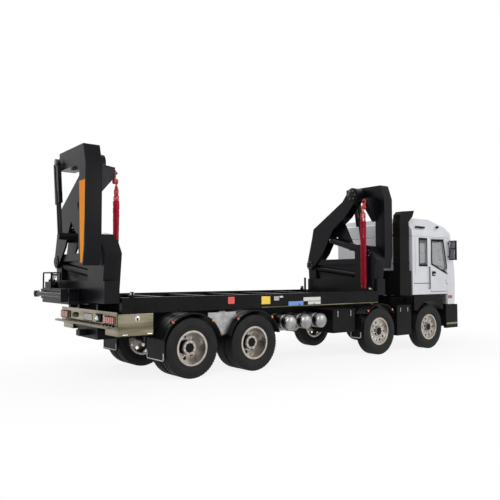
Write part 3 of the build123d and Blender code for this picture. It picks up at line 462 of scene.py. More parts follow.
class Mould:
    """A mesh in the making, in the truck's frame and in metres."""

    def __init__(self, name: str, finish: str) -> None:
        """Start an empty piece with one finish."""
        self.name = name
        self.bm = bmesh.new()
        self.finishes: list[str] = []
        self.index = 0
        self.use(finish)

    def use(self, finish: str) -> "Mould":
        """Make what follows in another finish."""
        if finish not in self.finishes:
            self.finishes.append(finish)
        self.index = self.finishes.index(finish)
        return self

    def skin(self, rings: Sequence[Sequence[Point]], capped: bool = True) -> "Mould":
        """Join rings of points into a surface.

        Args:
            rings: Closed loops with the same number of points each.
            capped: Whether the first and last loops get end faces.

        Returns:
            This mould.
        """
        rows = [[self.bm.verts.new(point) for point in ring] for ring in rings]
        count = len(rows[0])
        faces = []
        for low, high in zip(rows, rows[1:]):
            for i in range(count):
                j = (i + 1) % count
                faces.append(self.bm.faces.new((low[i], low[j], high[j], high[i])))
        if capped:
            faces += [self.bm.faces.new(rows[0][::-1]), self.bm.faces.new(rows[-1])]
        for face in faces:
            face.material_index = self.index
        return self

    def box(self, low: Point, high: Point, flip: int = 1) -> "Mould":
        """A block between two corners, on the truck's other side if flip is -1."""
        (x0, y0, z0), (x1, y1, z1) = low, high
        base = [(x0, y0), (x1, y0), (x1, y1), (x0, y1)]
        return self.skin([[(x, flip * y, z) for x, y in base] for z in (z0, z1)])

    def prism(self, outline: Sequence[Pair], axis: Axis, start: float, end: float) -> "Mould":
        """An outline, in the two other axes in order, pulled along an axis."""
        def at(pair: Pair, along: float) -> Point:
            """Place an outline point."""
            point = list(pair)
            point.insert(axis.value, along)
            return tuple(point)
        return self.skin([[at(pair, along) for pair in outline] for along in (start, end)])

    def lathe(self, profile: Sequence[Pair], centre: Point, axis: Axis, steps: int = 48,
              loop: bool = False, flip: int = 1) -> "Mould":
        """Turn a profile round an axis.

        Args:
            profile: Pairs of distance along the axis and radius.
            centre: A point on the axis, where the distance is zero.
            axis: The axis's direction.
            steps: Facets round the axis.
            loop: Whether the profile closes on itself, as a ring does.
            flip: -1 if the profile runs against the axis.

        Returns:
            This mould.
        """
        others = [i for i in range(3) if i != axis.value]
        rings = []
        for along, radius in profile:
            ring = []
            for cosine, sine in circle(steps):
                point = list(centre)
                point[axis.value] += flip * along
                point[others[0]] += radius * cosine
                point[others[1]] += radius * sine
                ring.append(tuple(point))
            rings.append(ring)
        if loop:
            rings.append(rings[0])
        return self.skin(rings, capped=not loop)

    def rod(self, start: Point, end: Point, radius: float, steps: int = 14) -> "Mould":
        """A round bar between two points."""
        return self.pipe([start, end], radius, steps)

    def pipe(self, path: Sequence[Point], radius: float, steps: int = 10) -> "Mould":
        """A round tube that follows points."""
        spots = [Vector(point) for point in path]
        rings = []
        side = None
        for i, spot in enumerate(spots):
            ahead = (spots[min(i + 1, len(spots) - 1)] - spots[max(i - 1, 0)]).normalized()
            if side is None:
                side = ahead.orthogonal().normalized()
            side = (side - ahead * side.dot(ahead)).normalized()
            other = ahead.cross(side)
            rings.append([tuple(spot + (side * cosine + other * sine) * radius)
                          for cosine, sine in circle(steps)])
        return self.skin(rings)

    def bent(self, path: Sequence[Point], radius: float, resolution: int = 8) -> "Mould":
        """A formed pipe whose bends follow a smooth spline inside the path's corners."""
        curve = bpy.data.curves.new("route", "CURVE")
        curve.dimensions = "3D"
        curve.resolution_u = resolution
        spline = curve.splines.new("NURBS")
        spline.points.add(len(path) - 1)
        for point, place in zip(spline.points, path):
            point.co = (*place, 1.0)
        spline.order_u = 3
        spline.use_endpoint_u = True
        holder = bpy.data.objects.new("route", curve)
        bpy.context.collection.objects.link(holder)
        graph = bpy.context.evaluated_depsgraph_get()
        mesh = bpy.data.meshes.new_from_object(holder.evaluated_get(graph))
        places = [tuple(vertex.co) for vertex in mesh.vertices]
        bpy.data.objects.remove(holder)
        bpy.data.meshes.remove(mesh)
        return self.pipe(places, radius)

    def add(self, mesh: bpy.types.Mesh) -> "Mould":
        """Take in a ready mesh with the current finish."""
        before = set(self.bm.faces)
        self.bm.from_mesh(mesh)
        for face in self.bm.faces:
            if face not in before:
                face.material_index = self.index
        return self

    def repeat(self, form: "Mould", **values: float | tuple) -> "Mould":
        """Take in copies of a small form, placed by the Repeat tree's inputs."""
        return self.add(Repeat.mesh(form, **values))

    def row(self, profile: Sequence[Pair], axis: Axis, steps: int, flip: int = 1,
            **values: float | tuple) -> "Mould":
        """Take in copies of a small turned form in the current finish.

        Args:
            profile: The form's profile, as for a lathe.
            axis: The axis that it is turned round.
            steps: Facets round the axis.
            flip: -1 if the profile runs against the axis.
            **values: The Repeat tree's inputs by name.

        Returns:
            This mould.
        """
        form = Mould("small_turned_form", self.finishes[self.index])
        return self.repeat(form.lathe(profile, ORIGIN, axis, steps, flip=flip), **values)

    def mesh(self) -> bpy.types.Mesh:
        """Close the mould into a mesh with outward faces."""
        bmesh.ops.remove_doubles(self.bm, verts=self.bm.verts, dist=MERGE)
        bmesh.ops.recalc_face_normals(self.bm, faces=self.bm.faces)
        mesh = bpy.data.meshes.new(self.name)
        self.bm.to_mesh(mesh)
        self.bm.free()
        for finish in self.finishes:
            mesh.materials.append(Finishes.get(finish))
        return mesh

    def done(self, bevel: float = 0.0, angle: float = CRISP,
             body: str = "chassis") -> bpy.types.Object:
        """Finish the piece and let it ride on a body.

        Args:
            bevel: Width of the rounded edges.
            angle: Edges sharper than this stay crisp, in degrees.
            body: The CAD body that carries it.

        Returns:
            The finished object.
        """
        return settle(self.name, self.mesh(), body, bevel, angle)


def settle(name: str, mesh: bpy.types.Mesh, body: str, bevel: float = 0.0,
           angle: float = CRISP) -> bpy.types.Object:
    """Put a mesh into the scene as a piece of the truck.

    Args:
        name: The piece's name.
        mesh: Its mesh, already in place.
        body: The CAD body that carries it.
        bevel: Width of the rounded edges, none at zero.
        angle: Edges sharper than this stay crisp, in degrees.

    Returns:
        The object, riding on its body.
    """
    piece = bpy.data.objects.new(name, mesh)
    bpy.context.collection.objects.link(piece)
    mesh.polygons.foreach_set("use_smooth", [True] * len(mesh.polygons))
    mesh.set_sharp_from_angle(angle=math.radians(angle))
    if bevel:
        rounding = piece.modifiers.new("edges", "BEVEL")
        rounding.width = bevel
        rounding.segments = 2
        rounding.limit_method = "ANGLE"
        rounding.angle_limit = math.radians(angle)
        rounding.harden_normals = True
        rounding.use_clamp_overlap = True
    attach(piece, body)
    LOG.info("%s on %s, %d faces", name, body, len(mesh.polygons))
    return piece


@dataclass
class Frame:
    """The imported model's nodes and its record."""

    nodes: dict
    record: dict

    def carrier(self, node: str) -> str:
        """The body that carries a CAD node."""
        bodies = self.record["behaviour"]["bodies"]
        return next(body for body, nodes in bodies.items() if node in nodes)

    def finish(self, node: str, finish: str) -> None:
        """Give a CAD node's own mesh a finish."""
        mesh = self.nodes[node].data
        mesh.materials.clear()
        mesh.materials.append(Finishes.get(finish))

    def soften(self, node: str, finish: str, width: float) -> bpy.types.Object:
        """Stand a round-edged copy in for a CAD node.

        Args:
            node: The CAD node.
            finish: The copy's finish.
            width: Width of its rounded edges.

        Returns:
            The copy, which replaces the node.
        """
        mesh = self.nodes[node].data.copy()
        form = bmesh.new()
        form.from_mesh(mesh)
        bmesh.ops.remove_doubles(form, verts=form.verts, dist=MERGE)
        bmesh.ops.dissolve_limit(form, angle_limit=FLAT, verts=form.verts, edges=form.edges)
        form.to_mesh(mesh)
        form.free()
        mesh.materials.clear()
        mesh.materials.append(Finishes.get(finish))
        for polygon in mesh.polygons:
            polygon.material_index = 0
        piece = settle(f"{node}_formed", mesh, self.carrier(node), width, CRISP_CAD)
        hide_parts(node)
        return piece


class Repeat:
    """A Geometry Nodes tree that repeats a small form along an arc round Y, a row, or both."""

    tree: bpy.types.NodeTree | None = None
    sockets = (("Count", "NodeSocketInt"), ("Radius", "NodeSocketFloat"), ("Start", "NodeSocketFloat"),
               ("Step", "NodeSocketFloat"), ("Twist", "NodeSocketFloat"), ("Offset", "NodeSocketVector"),
               ("Centre", "NodeSocketVector"), ("Form", "NodeSocketObject"),
               ("Finish", "NodeSocketMaterial"))

    @classmethod
    def build(cls) -> bpy.types.NodeTree:
        """Make the tree once."""
        if cls.tree:
            return cls.tree
        tree = cls.tree = bpy.data.node_groups.new("repeat_form", "GeometryNodeTree")
        for name, kind in cls.sockets:
            tree.interface.new_socket(name, in_out="INPUT", socket_type=kind)
        tree.interface.new_socket("Geometry", in_out="OUTPUT", socket_type="NodeSocketGeometry")

        def add(kind: str, sockets: dict, **settings: str) -> bpy.types.NodeSocket:
            """A new node's first result."""
            return add_node(tree, kind, settings, sockets).outputs[0]

        def maths(operation: str, first: object, second: object = 0.0) -> bpy.types.NodeSocket:
            """A Math node's result."""
            return add("ShaderNodeMath", {0: first, 1: second}, operation=operation)

        def total(first: object, second: object) -> bpy.types.NodeSocket:
            """The sum of two vectors."""
            return add("ShaderNodeVectorMath", {0: first, 1: second}, operation="ADD")

        given = tree.nodes.new("NodeGroupInput").outputs
        index = tree.nodes.new("GeometryNodeInputIndex").outputs[0]
        angle = maths("ADD", given["Start"], maths("MULTIPLY", index, given["Step"]))
        across = maths("MULTIPLY", given["Radius"], maths("COSINE", angle))
        upward = maths("MULTIPLY", given["Radius"], maths("SINE", angle))
        arc = add("ShaderNodeCombineXYZ", {0: across, 2: upward})
        stride = add("ShaderNodeVectorMath", {0: given["Offset"], "Scale": index}, operation="SCALE")
        place = total(total(arc, stride), given["Centre"])
        points = add("GeometryNodePoints", {"Count": given["Count"], "Position": place})
        tilt = maths("MULTIPLY", angle, -1.0)
        spin = maths("MULTIPLY", index, given["Twist"])
        turn = add("ShaderNodeCombineXYZ", {1: tilt, 2: spin})
        form = add_node(tree, "GeometryNodeObjectInfo", {"transform_space": "ORIGINAL"},
                        {"Object": given["Form"]}).outputs["Geometry"]
        copies = add("GeometryNodeInstanceOnPoints", {"Points": points, "Instance": form, "Rotation": turn})
        solid = add("GeometryNodeRealizeInstances", {0: copies})
        dressed = add("GeometryNodeSetMaterial", {"Geometry": solid, "Material": given["Finish"]})
        tree.links.new(dressed, tree.nodes.new("NodeGroupOutput").inputs[0])
        return tree

    @classmethod
    def mesh(cls, form: Mould, **values: float | tuple) -> bpy.types.Mesh:
        """Repeat a form and give the plain mesh.

        Args:
            form: The small form, made round the origin, in its finish.
            **values: The tree's inputs by name.

        Returns:
            The repeated mesh with the form's finish.
        """
        tree = cls.build()
        finish = Finishes.get(form.finishes[0])
        small = bpy.data.objects.new("small_form", form.mesh())
        holder = bpy.data.objects.new("repeat_holder", bpy.data.meshes.new("repeat_holder"))
        for thing in (small, holder):
            bpy.context.collection.objects.link(thing)
        modifier = holder.modifiers.new("repeat", "NODES")
        modifier.node_group = tree
        inputs = {"Count": 1, "Radius": 0.0, "Start": 0.0, "Step": 0.0, "Twist": 0.0, "Offset": ORIGIN,
                  "Centre": ORIGIN, "Form": small, "Finish": finish, **values}
        for item in tree.interface.items_tree:
            if item.in_out == "INPUT":
                modifier[item.identifier] = inputs[item.name]
        holder.update_tag()
        bpy.context.view_layer.update()
        graph = bpy.context.evaluated_depsgraph_get()
        mesh = bpy.data.meshes.new_from_object(holder.evaluated_get(graph), depsgraph=graph)
        holder.modifiers.remove(modifier)
        bpy.data.objects.remove(holder)
        bpy.data.objects.remove(small)
        return mesh


@dataclass
class Wheel:
    """One wheel of the truck: its tyres, nuts and hub cap."""

    axle: str
    side: Side
    x: float
    tyre_centres: tuple[float, ...]
    disc_y: float
    nut_ring: float
    cap_radius: float
    cap_end: float
    nut_count: int = 10
    nut_start: float = 0.16
    height: float = 0.525
    base_radius: float = 0.513
    tread_half: float = 0.118
    wall_half: float = 0.140
    bulge_radius: float = 0.415
    bead_radius: float = 0.291
    bead_half: float = 0.104
    blocks: int = 58
    block_half: float = 0.0225
    block_top: float = 0.5238
    tread_lift: float = 0.0001
    tread_rows: tuple[Point, ...] = ((-0.094, 0.023, 0.0), (-0.046, 0.019, 0.5), (0.0, 0.019, 0.0),
                                     (0.046, 0.019, 0.5), (0.094, 0.023, 0.0))

    @property
    def tag(self) -> str:
        """Axle and side as in the CAD names."""
        return f"{self.axle}_{self.side.tag}"

    def profile(self) -> list[Pair]:
        """A tyre's section as a loop from its outer bead over the tread, with its moulded rings."""
        half = [(self.bead_half, self.bead_radius), (self.bead_half + 0.012, 0.318), (0.131, 0.340),
                (0.129, 0.346), (0.137, 0.372), (self.wall_half, self.bulge_radius), (0.139, 0.436),
                (0.136, 0.442), (0.136, 0.462), (0.131, 0.466), (0.126, 0.492),
                (self.tread_half, self.base_radius - 0.004)]
        crown = [(0.090, self.base_radius), (0.0, self.base_radius + 0.001), (-0.090, self.base_radius)]
        inner = [(-0.08, 0.300), (0.08, 0.300)]
        return half + crown + [(-y, r) for y, r in reversed(half)] + inner

    def build(self, frame: Frame) -> None:
        """Make the tyres with their tread blocks, and the fittings on the disc."""
        body = f"wheel_{self.tag}"
        sign = self.side.value
        tyre = Mould(f"tyre_{self.tag}_moulded", "tyre")
        for centre in self.tyre_centres:
            middle = (self.x, sign * centre, self.height)
            tyre.lathe(self.profile(), middle, Axis.Y, 72, loop=True)
        made = tyre.done(angle=28.0, body=body)
        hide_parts(f"tyre_{self.tag}")
        tread = Mould(f"tread_{self.tag}", "tyre")
        step = 2 * math.pi / self.blocks
        for centre in self.tyre_centres:
            for offset, half, shift in self.tread_rows:
                tread.repeat(self.tread_block(offset, half), Count=self.blocks, Radius=self.tread_lift,
                             Start=shift * step, Step=step,
                             Centre=(self.x, sign * centre + offset, self.height))
        tread.done(angle=20.0, body=body)
        self.fit_disc(body, sign)
        frame.finish(f"rim_{self.tag}", "rim")

    def tread_block(self, offset: float, half: float) -> Mould:
        """Make one tread block at its height above the origin.

        Args:
            offset: Its row's place across the tyre.
            half: Half its width.

        Returns:
            A mould that holds the block, which slopes outwards in the outer rows.
        """
        outermost = max(row[0] for row in self.tread_rows)
        edge = math.copysign(0.006, offset) if abs(offset) == outermost else 0.0
        length = self.block_half
        base = [(-half, -length), (half, -length), (half, length), (-half, length)]
        low = [(self.base_radius - 0.010, y + edge * 0.6, z) for y, z in base]
        high = [(self.block_top, y * 0.93 - edge * 0.3, z * 0.93) for y, z in base]
        return Mould("tread_block", "tyre").skin([low, high])

    def fit_disc(self, body: str, sign: int) -> None:
        """Put the nuts and the bolted hub cap on the wheel's disc."""
        nut = Mould("wheel_nut", "chrome")
        face = sign * self.disc_y
        nut.lathe([(0.0, 0.017), (0.004, 0.017)], ORIGIN, Axis.Y, 12, flip=sign)
        nut.lathe([(0.0, 0.0145), (0.024, 0.0145), (0.034, 0.009)], ORIGIN, Axis.Y, 6, flip=sign)
        nuts = Mould(f"nuts_{self.tag}", "chrome")
        nuts.repeat(nut, Count=self.nut_count, Radius=self.nut_ring, Step=2 * math.pi / self.nut_count,
                    Start=self.nut_start, Centre=(self.x, face, self.height))
        nuts.done(angle=25.0, body=body)
        cap = Mould(f"hub_cap_{self.tag}", "frame")
        reach = self.cap_end - self.disc_y
        end = reach + 0.004
        round_off = ((0.0, 1.0), (reach * 0.72, 0.97), (reach * 0.9, 0.86), (reach, 0.62), (end, 0.60))
        profile = [(-0.01, self.cap_radius * 0.6), *((y, self.cap_radius * share) for y, share in round_off),
                   (end, 0.001)]
        cap.lathe(profile, (self.x, face, self.height), Axis.Y, 40, flip=sign)
        bolt = [(-sign * 0.01, 0.009), (0.007, 0.009), (0.010, 0.006)]
        cap.use("steel").row(bolt, Axis.Y, 6, sign, Count=8, Radius=self.cap_radius * 0.74, Step=math.pi / 4,
                             Centre=(self.x, face + sign * (reach + 0.001), self.height))
        cap.done(angle=30.0, body=body)


@dataclass
class Wheels:
    """All eight wheels, single on the steered axles and twin on the driven ones."""

    steer_x: dict[str, float] = field(
        default_factory=lambda: {"steer_front": 3.850, "steer_rear": 2.000})
    drive_x: dict[str, float] = field(
        default_factory=lambda: {"drive_front": -1.610, "drive_rear": -2.980})

    def build(self, frame: Frame) -> None:
        """Build each wheel."""
        for side in Side:
            for axle, x in self.steer_x.items():
                Wheel(axle, side, x, (1.050,), disc_y=1.122, nut_ring=0.140, cap_radius=0.110,
                      cap_end=1.147).build(frame)
            for axle, x in self.drive_x.items():
                Wheel(axle, side, x, (1.080, 0.760), disc_y=0.932, nut_ring=0.152, cap_radius=0.130,
                      cap_end=1.107).build(frame)


@dataclass
class Cab:
    """The cab's panels, glass and trim."""

    half: float = 1.220
    roof_half: float = 1.1995
    front_line: tuple[Pair, ...] = ((4.870, 1.060), (4.900, 1.500), (4.890, 1.900), (4.740, 2.727))
    mirror_x: float = 4.590
    window: tuple[Pair, ...] = ((3.935, 2.070), (4.525, 1.850), (4.525, 2.050), (4.405, 2.645),
                                (3.935, 2.645))
    quarter: tuple[Pair, ...] = ((3.430, 2.040), (3.730, 2.040), (3.730, 2.660), (3.430, 2.660))
    screen_y: float = 1.10
    screen_z: Pair = (1.925, 2.690)

    def front_x(self, z: float) -> float:
        """The front panel's X at a height."""
        for (x0, z0), (x1, z1) in zip(self.front_line, self.front_line[1:]):
            if z <= z1:
                return x0 + (x1 - x0) * (z - z0) / (z1 - z0)
        return self.front_line[-1][0]

    def build(self, frame: Frame) -> None:
        """Form the panels and dress them."""
        for node in ("cab_shell", "cab_front", "cab_roof"):
            frame.soften(node, "cab", 0.022 if node == "cab_roof" else 0.010)
        for side in Side:
            frame.soften(f"door_{side.tag}", "cab", 0.006)
            frame.finish(f"door_glass_{side.tag}", "glass")
        frame.finish("cab_glass", "glass")
        frame.finish("cab_interior", "seat")
        for node in ("bumper", "intake_stack", "mirrors"):
            frame.soften(node, "plastic", 0.016)
        self.gaskets()
        self.front()
        self.sides()
        self.lamps()
        self.mirrors()
        self.stack()

    @staticmethod
    def ring(mould: Mould, outline: Sequence[Pair], y: float, depth: float, width: float) -> None:
        """Lay a rubber frame round a side window.

        Args:
            mould: The piece that takes it in.
            outline: The window's corners as X and Z.
            y: The panel's outer face.
            depth: How far the frame stands out from it, signed.
            width: The frame's width.
        """
        corners = [Vector(pair) for pair in outline]
        middle = sum(corners, Vector((0.0, 0.0))) / len(corners)
        outer = [p + (p - middle).normalized() * width * 1.3 for p in corners]
        inner = [p - (p - middle).normalized() * width * 0.4 for p in corners]
        loops = [[(p.x, y, p.y) for p in outer], [(p.x, y + depth, p.y) for p in outer],
                 [(p.x, y + depth, p.y) for p in inner], [(p.x, y - depth, p.y) for p in inner]]
        loops.append(loops[0])
        mould.skin(loops, capped=False)

    def gaskets(self) -> None:
        """Put rubber frames round the windscreen and the side windows."""
        for side in Side:
            sign, name = side.value, side.tag
            door = Mould(f"door_gasket_{name}", "plastic")
            self.ring(door, self.window, sign * self.half, sign * 0.005, 0.034)
            door.done(angle=50.0, body=f"door_{name}")
            light = Mould(f"quarter_gasket_{name}", "plastic")
            self.ring(light, self.quarter, sign * self.half, sign * 0.006, 0.032)
            light.done(angle=50.0)
        screen = Mould("windscreen_gasket", "plastic")
        side, (low, top) = self.screen_y, self.screen_z
        for y0, y1, z0, z1 in ((-side, side, low, low + 0.030), (-side, side, top - 0.030, top),
                               (-side - 0.005, -side + 0.025, low, top),
                               (side - 0.025, side + 0.005, low, top)):
            rings = []
            for z in (z0, z1):
                back, face = self.front_x(z) - 0.02, self.front_x(z) + 0.008
                rings.append([(back, y0, z), (back, y1, z), (face, y1, z), (face, y0, z)])
            screen.skin(rings)
        screen.done(0.004)

    def front(self) -> None:
        """Dress the front with grille bars, wipers, a visor and a blank panel."""
        grille = Mould("grille_bars", "plastic")
        for k in range(6):
            z = 1.190 + k * 0.082
            x = self.front_x(z)
            outline = [(x - 0.006, z), (x + 0.012, z + 0.008), (x + 0.014, z + 0.040),
                       (x - 0.006, z + 0.058)]
            grille.prism(outline, Axis.Y, -0.78, 0.78)
        face = self.front_x(1.19)
        for sign in (-1, 1):
            low, high = sorted((sign * 0.78, sign * 0.80))
            grille.box((face - 0.01, low, 1.175), (face + 0.010, high, 1.665))
        grille.done(0.004)
        wipers = Mould("wipers", "plastic")
        for y in (-0.42, 0.18, 0.78):
            foot = (self.front_x(1.90) + 0.020, y, 1.900)
            tip = (self.front_x(2.02) + 0.016, y - 0.36, 2.020)
            wipers.rod((foot[0] - 0.03, y, 1.900), foot, 0.018)
            wipers.rod(foot, tip, 0.007)
            low = Vector(tip) + Vector((0.0, -0.24, -0.045))
            high = Vector(tip) + Vector((-0.006, 0.24, 0.050))
            wipers.rod(tuple(low), tuple(high), 0.009, 6)
        wipers.done()
        visor = Mould("sun_visor", "trim")
        outline = [(4.735, 2.700), (4.775, 2.715), (4.925, 2.665), (4.930, 2.652), (4.775, 2.700),
                   (4.740, 2.690)]
        visor.prism(outline, Axis.Y, -1.12, 1.12)
        visor.done(0.004)
        panel = Mould("front_blank_panel", "cab")
        face = self.front_x(1.78)
        panel.box((face - 0.006, -0.30, 1.715), (face + 0.010, 0.30, 1.835))
        panel.done(0.006)

    def sides(self) -> None:
        """Dress the sides with handles, swage lines, vents and grab rails."""
        out, roof = self.half, self.roof_half
        for side in Side:
            sign, name = side.value, side.tag
            handle = Mould(f"door_handle_{name}", "plastic")
            handle.box((3.935, out - 0.004, 1.770), (4.075, out + 0.004, 1.885), sign)
            handle.box((3.945, out, 1.820), (4.065, out + 0.026, 1.860), sign)
            handle.box((3.955, out, 1.785), (3.985, out + 0.012, 1.812), sign)
            handle.done(0.005, body=f"door_{name}")
            swage = Mould(f"side_swage_{name}", "trim")
            swage.box((3.200, out - 0.004, 1.586), (3.870, out + 0.0035, 1.602), sign)
            swage.box((3.265, out - 0.004, 2.690), (3.271, out + 0.002, 1.820), sign)
            swage.done(0.002)
            vent = Mould(f"roof_vent_{name}", "plastic")
            vent.box((3.340, roof - 0.03, 2.935), (3.690, roof + 0.006, 2.980), sign)
            vent.done(0.004)
            rail = Mould(f"grab_rail_{name}", "plastic")
            x, y, end = 3.800, sign * (out + 0.030), sign * (out - 0.01)
            rail.bent([(x, end, 1.46), (x, y, 1.46), (x, y, 1.50), (x, y, 1.95), (x, y, 1.99),
                       (x, end, 1.99)], 0.011)
            rail.done()

    def lamps(self) -> None:
        """Put head lamps, indicators, bright strips and markers on the cab and bumper."""
        face = self.front_x(1.140)
        for side in Side:
            sign, name = side.value, side.tag
            lamp = Mould(f"head_lamp_{name}", "plastic")
            lamp.box((face - 0.020, 0.830, 1.085), (face + 0.016, 1.180, 1.345), sign)
            lamp.use("clear_lens").box((face - 0.010, 0.845, 1.150), (face + 0.022, 1.165, 1.330), sign)
            lamp.use("chrome").lathe([(-0.004, 0.070), (0.012, 0.066), (0.016, 0.050), (0.018, 0.001)],
                                     (face + 0.016, sign * 0.930, 1.240), Axis.X, 32)
            lamp.lathe([(-0.004, 0.060), (0.012, 0.056), (0.016, 0.042), (0.018, 0.001)],
                       (face + 0.016, sign * 1.080, 1.240), Axis.X, 32)
            lamp.use("amber_lens").box((face - 0.010, 0.850, 1.096), (face + 0.022, 1.160, 1.138), sign)
            lamp.done(0.004)
            strip = Mould(f"bumper_side_strip_{name}", "polished")
            strip.box((4.520, 1.212, 0.548), (4.985, 1.2225, 0.596), sign)
            strip.done(0.004)
            marker = Mould(f"front_side_marker_{name}", "red_lens")
            marker.box((4.610, 1.212, 1.215), (4.760, 1.228, 1.270), sign)
            marker.use("plastic").box((4.600, 1.210, 1.205), (4.770, 1.2235, 1.280), sign)
            marker.done(0.004)
            top = Mould(f"roof_marker_{name}", "plastic")
            top.lathe([(-0.05, 0.030), (0.006, 0.028), (0.012, 0.020), (0.014, 0.001)],
                      (4.230, sign * self.roof_half, 2.990), Axis.Y, 24, flip=sign)
            top.done()
        row = Mould("roof_front_lamps", "amber_lens")
        for y in (-1.0, -0.5, 0.0, 0.5, 1.0):
            row.lathe([(-0.14, 0.040), (0.0, 0.036), (0.022, 0.024), (0.026, 0.001)],
                      (4.560, y, 3.010), Axis.X, 20)
        row.done()
        plate = Mould("front_blank_plate", "white_plate")
        face = self.front_x(1.120)
        plate.box((face - 0.020, -0.260, 1.072), (face + 0.012, 0.260, 1.164))
        plate.use("plastic").box((face - 0.020, -0.270, 1.066), (face + 0.009, 0.270, 1.170))
        plate.done(0.003)

    def mirrors(self) -> None:
        """Put mirror glasses on the rear of the mirror heads."""
        glasses = Mould("mirror_glasses", "mirror")
        x0, x1 = self.mirror_x - 0.004, self.mirror_x + 0.004
        for side in Side:
            for z0, z1 in ((2.200, 2.440), (2.465, 2.635)):
                glasses.box((x0, 1.285, z0), (x1, 1.425, z1), side.value)
        glasses.done(0.004)

    def stack(self) -> None:
        """Give the intake stack its clamps, ribs and grille."""
        trim = Mould("intake_fittings", "plastic")
        for z in (2.05, 2.72):
            trim.box((2.708, -1.212, z), (3.072, -0.988, z + 0.035))
        for k in range(9):
            z = 2.780 + k * 0.028
            trim.box((2.714, -1.206, z), (3.066, -0.994, z + 0.014))
        for k in range(7):
            share = (k + 0.5) / 7
            x, z = 3.215 + 0.060 * share, 3.200 + 0.145 * share
            trim.box((x - 0.006, -1.185, z - 0.004), (x + 0.008, -1.015, z + 0.004))
        trim.done(0.004)


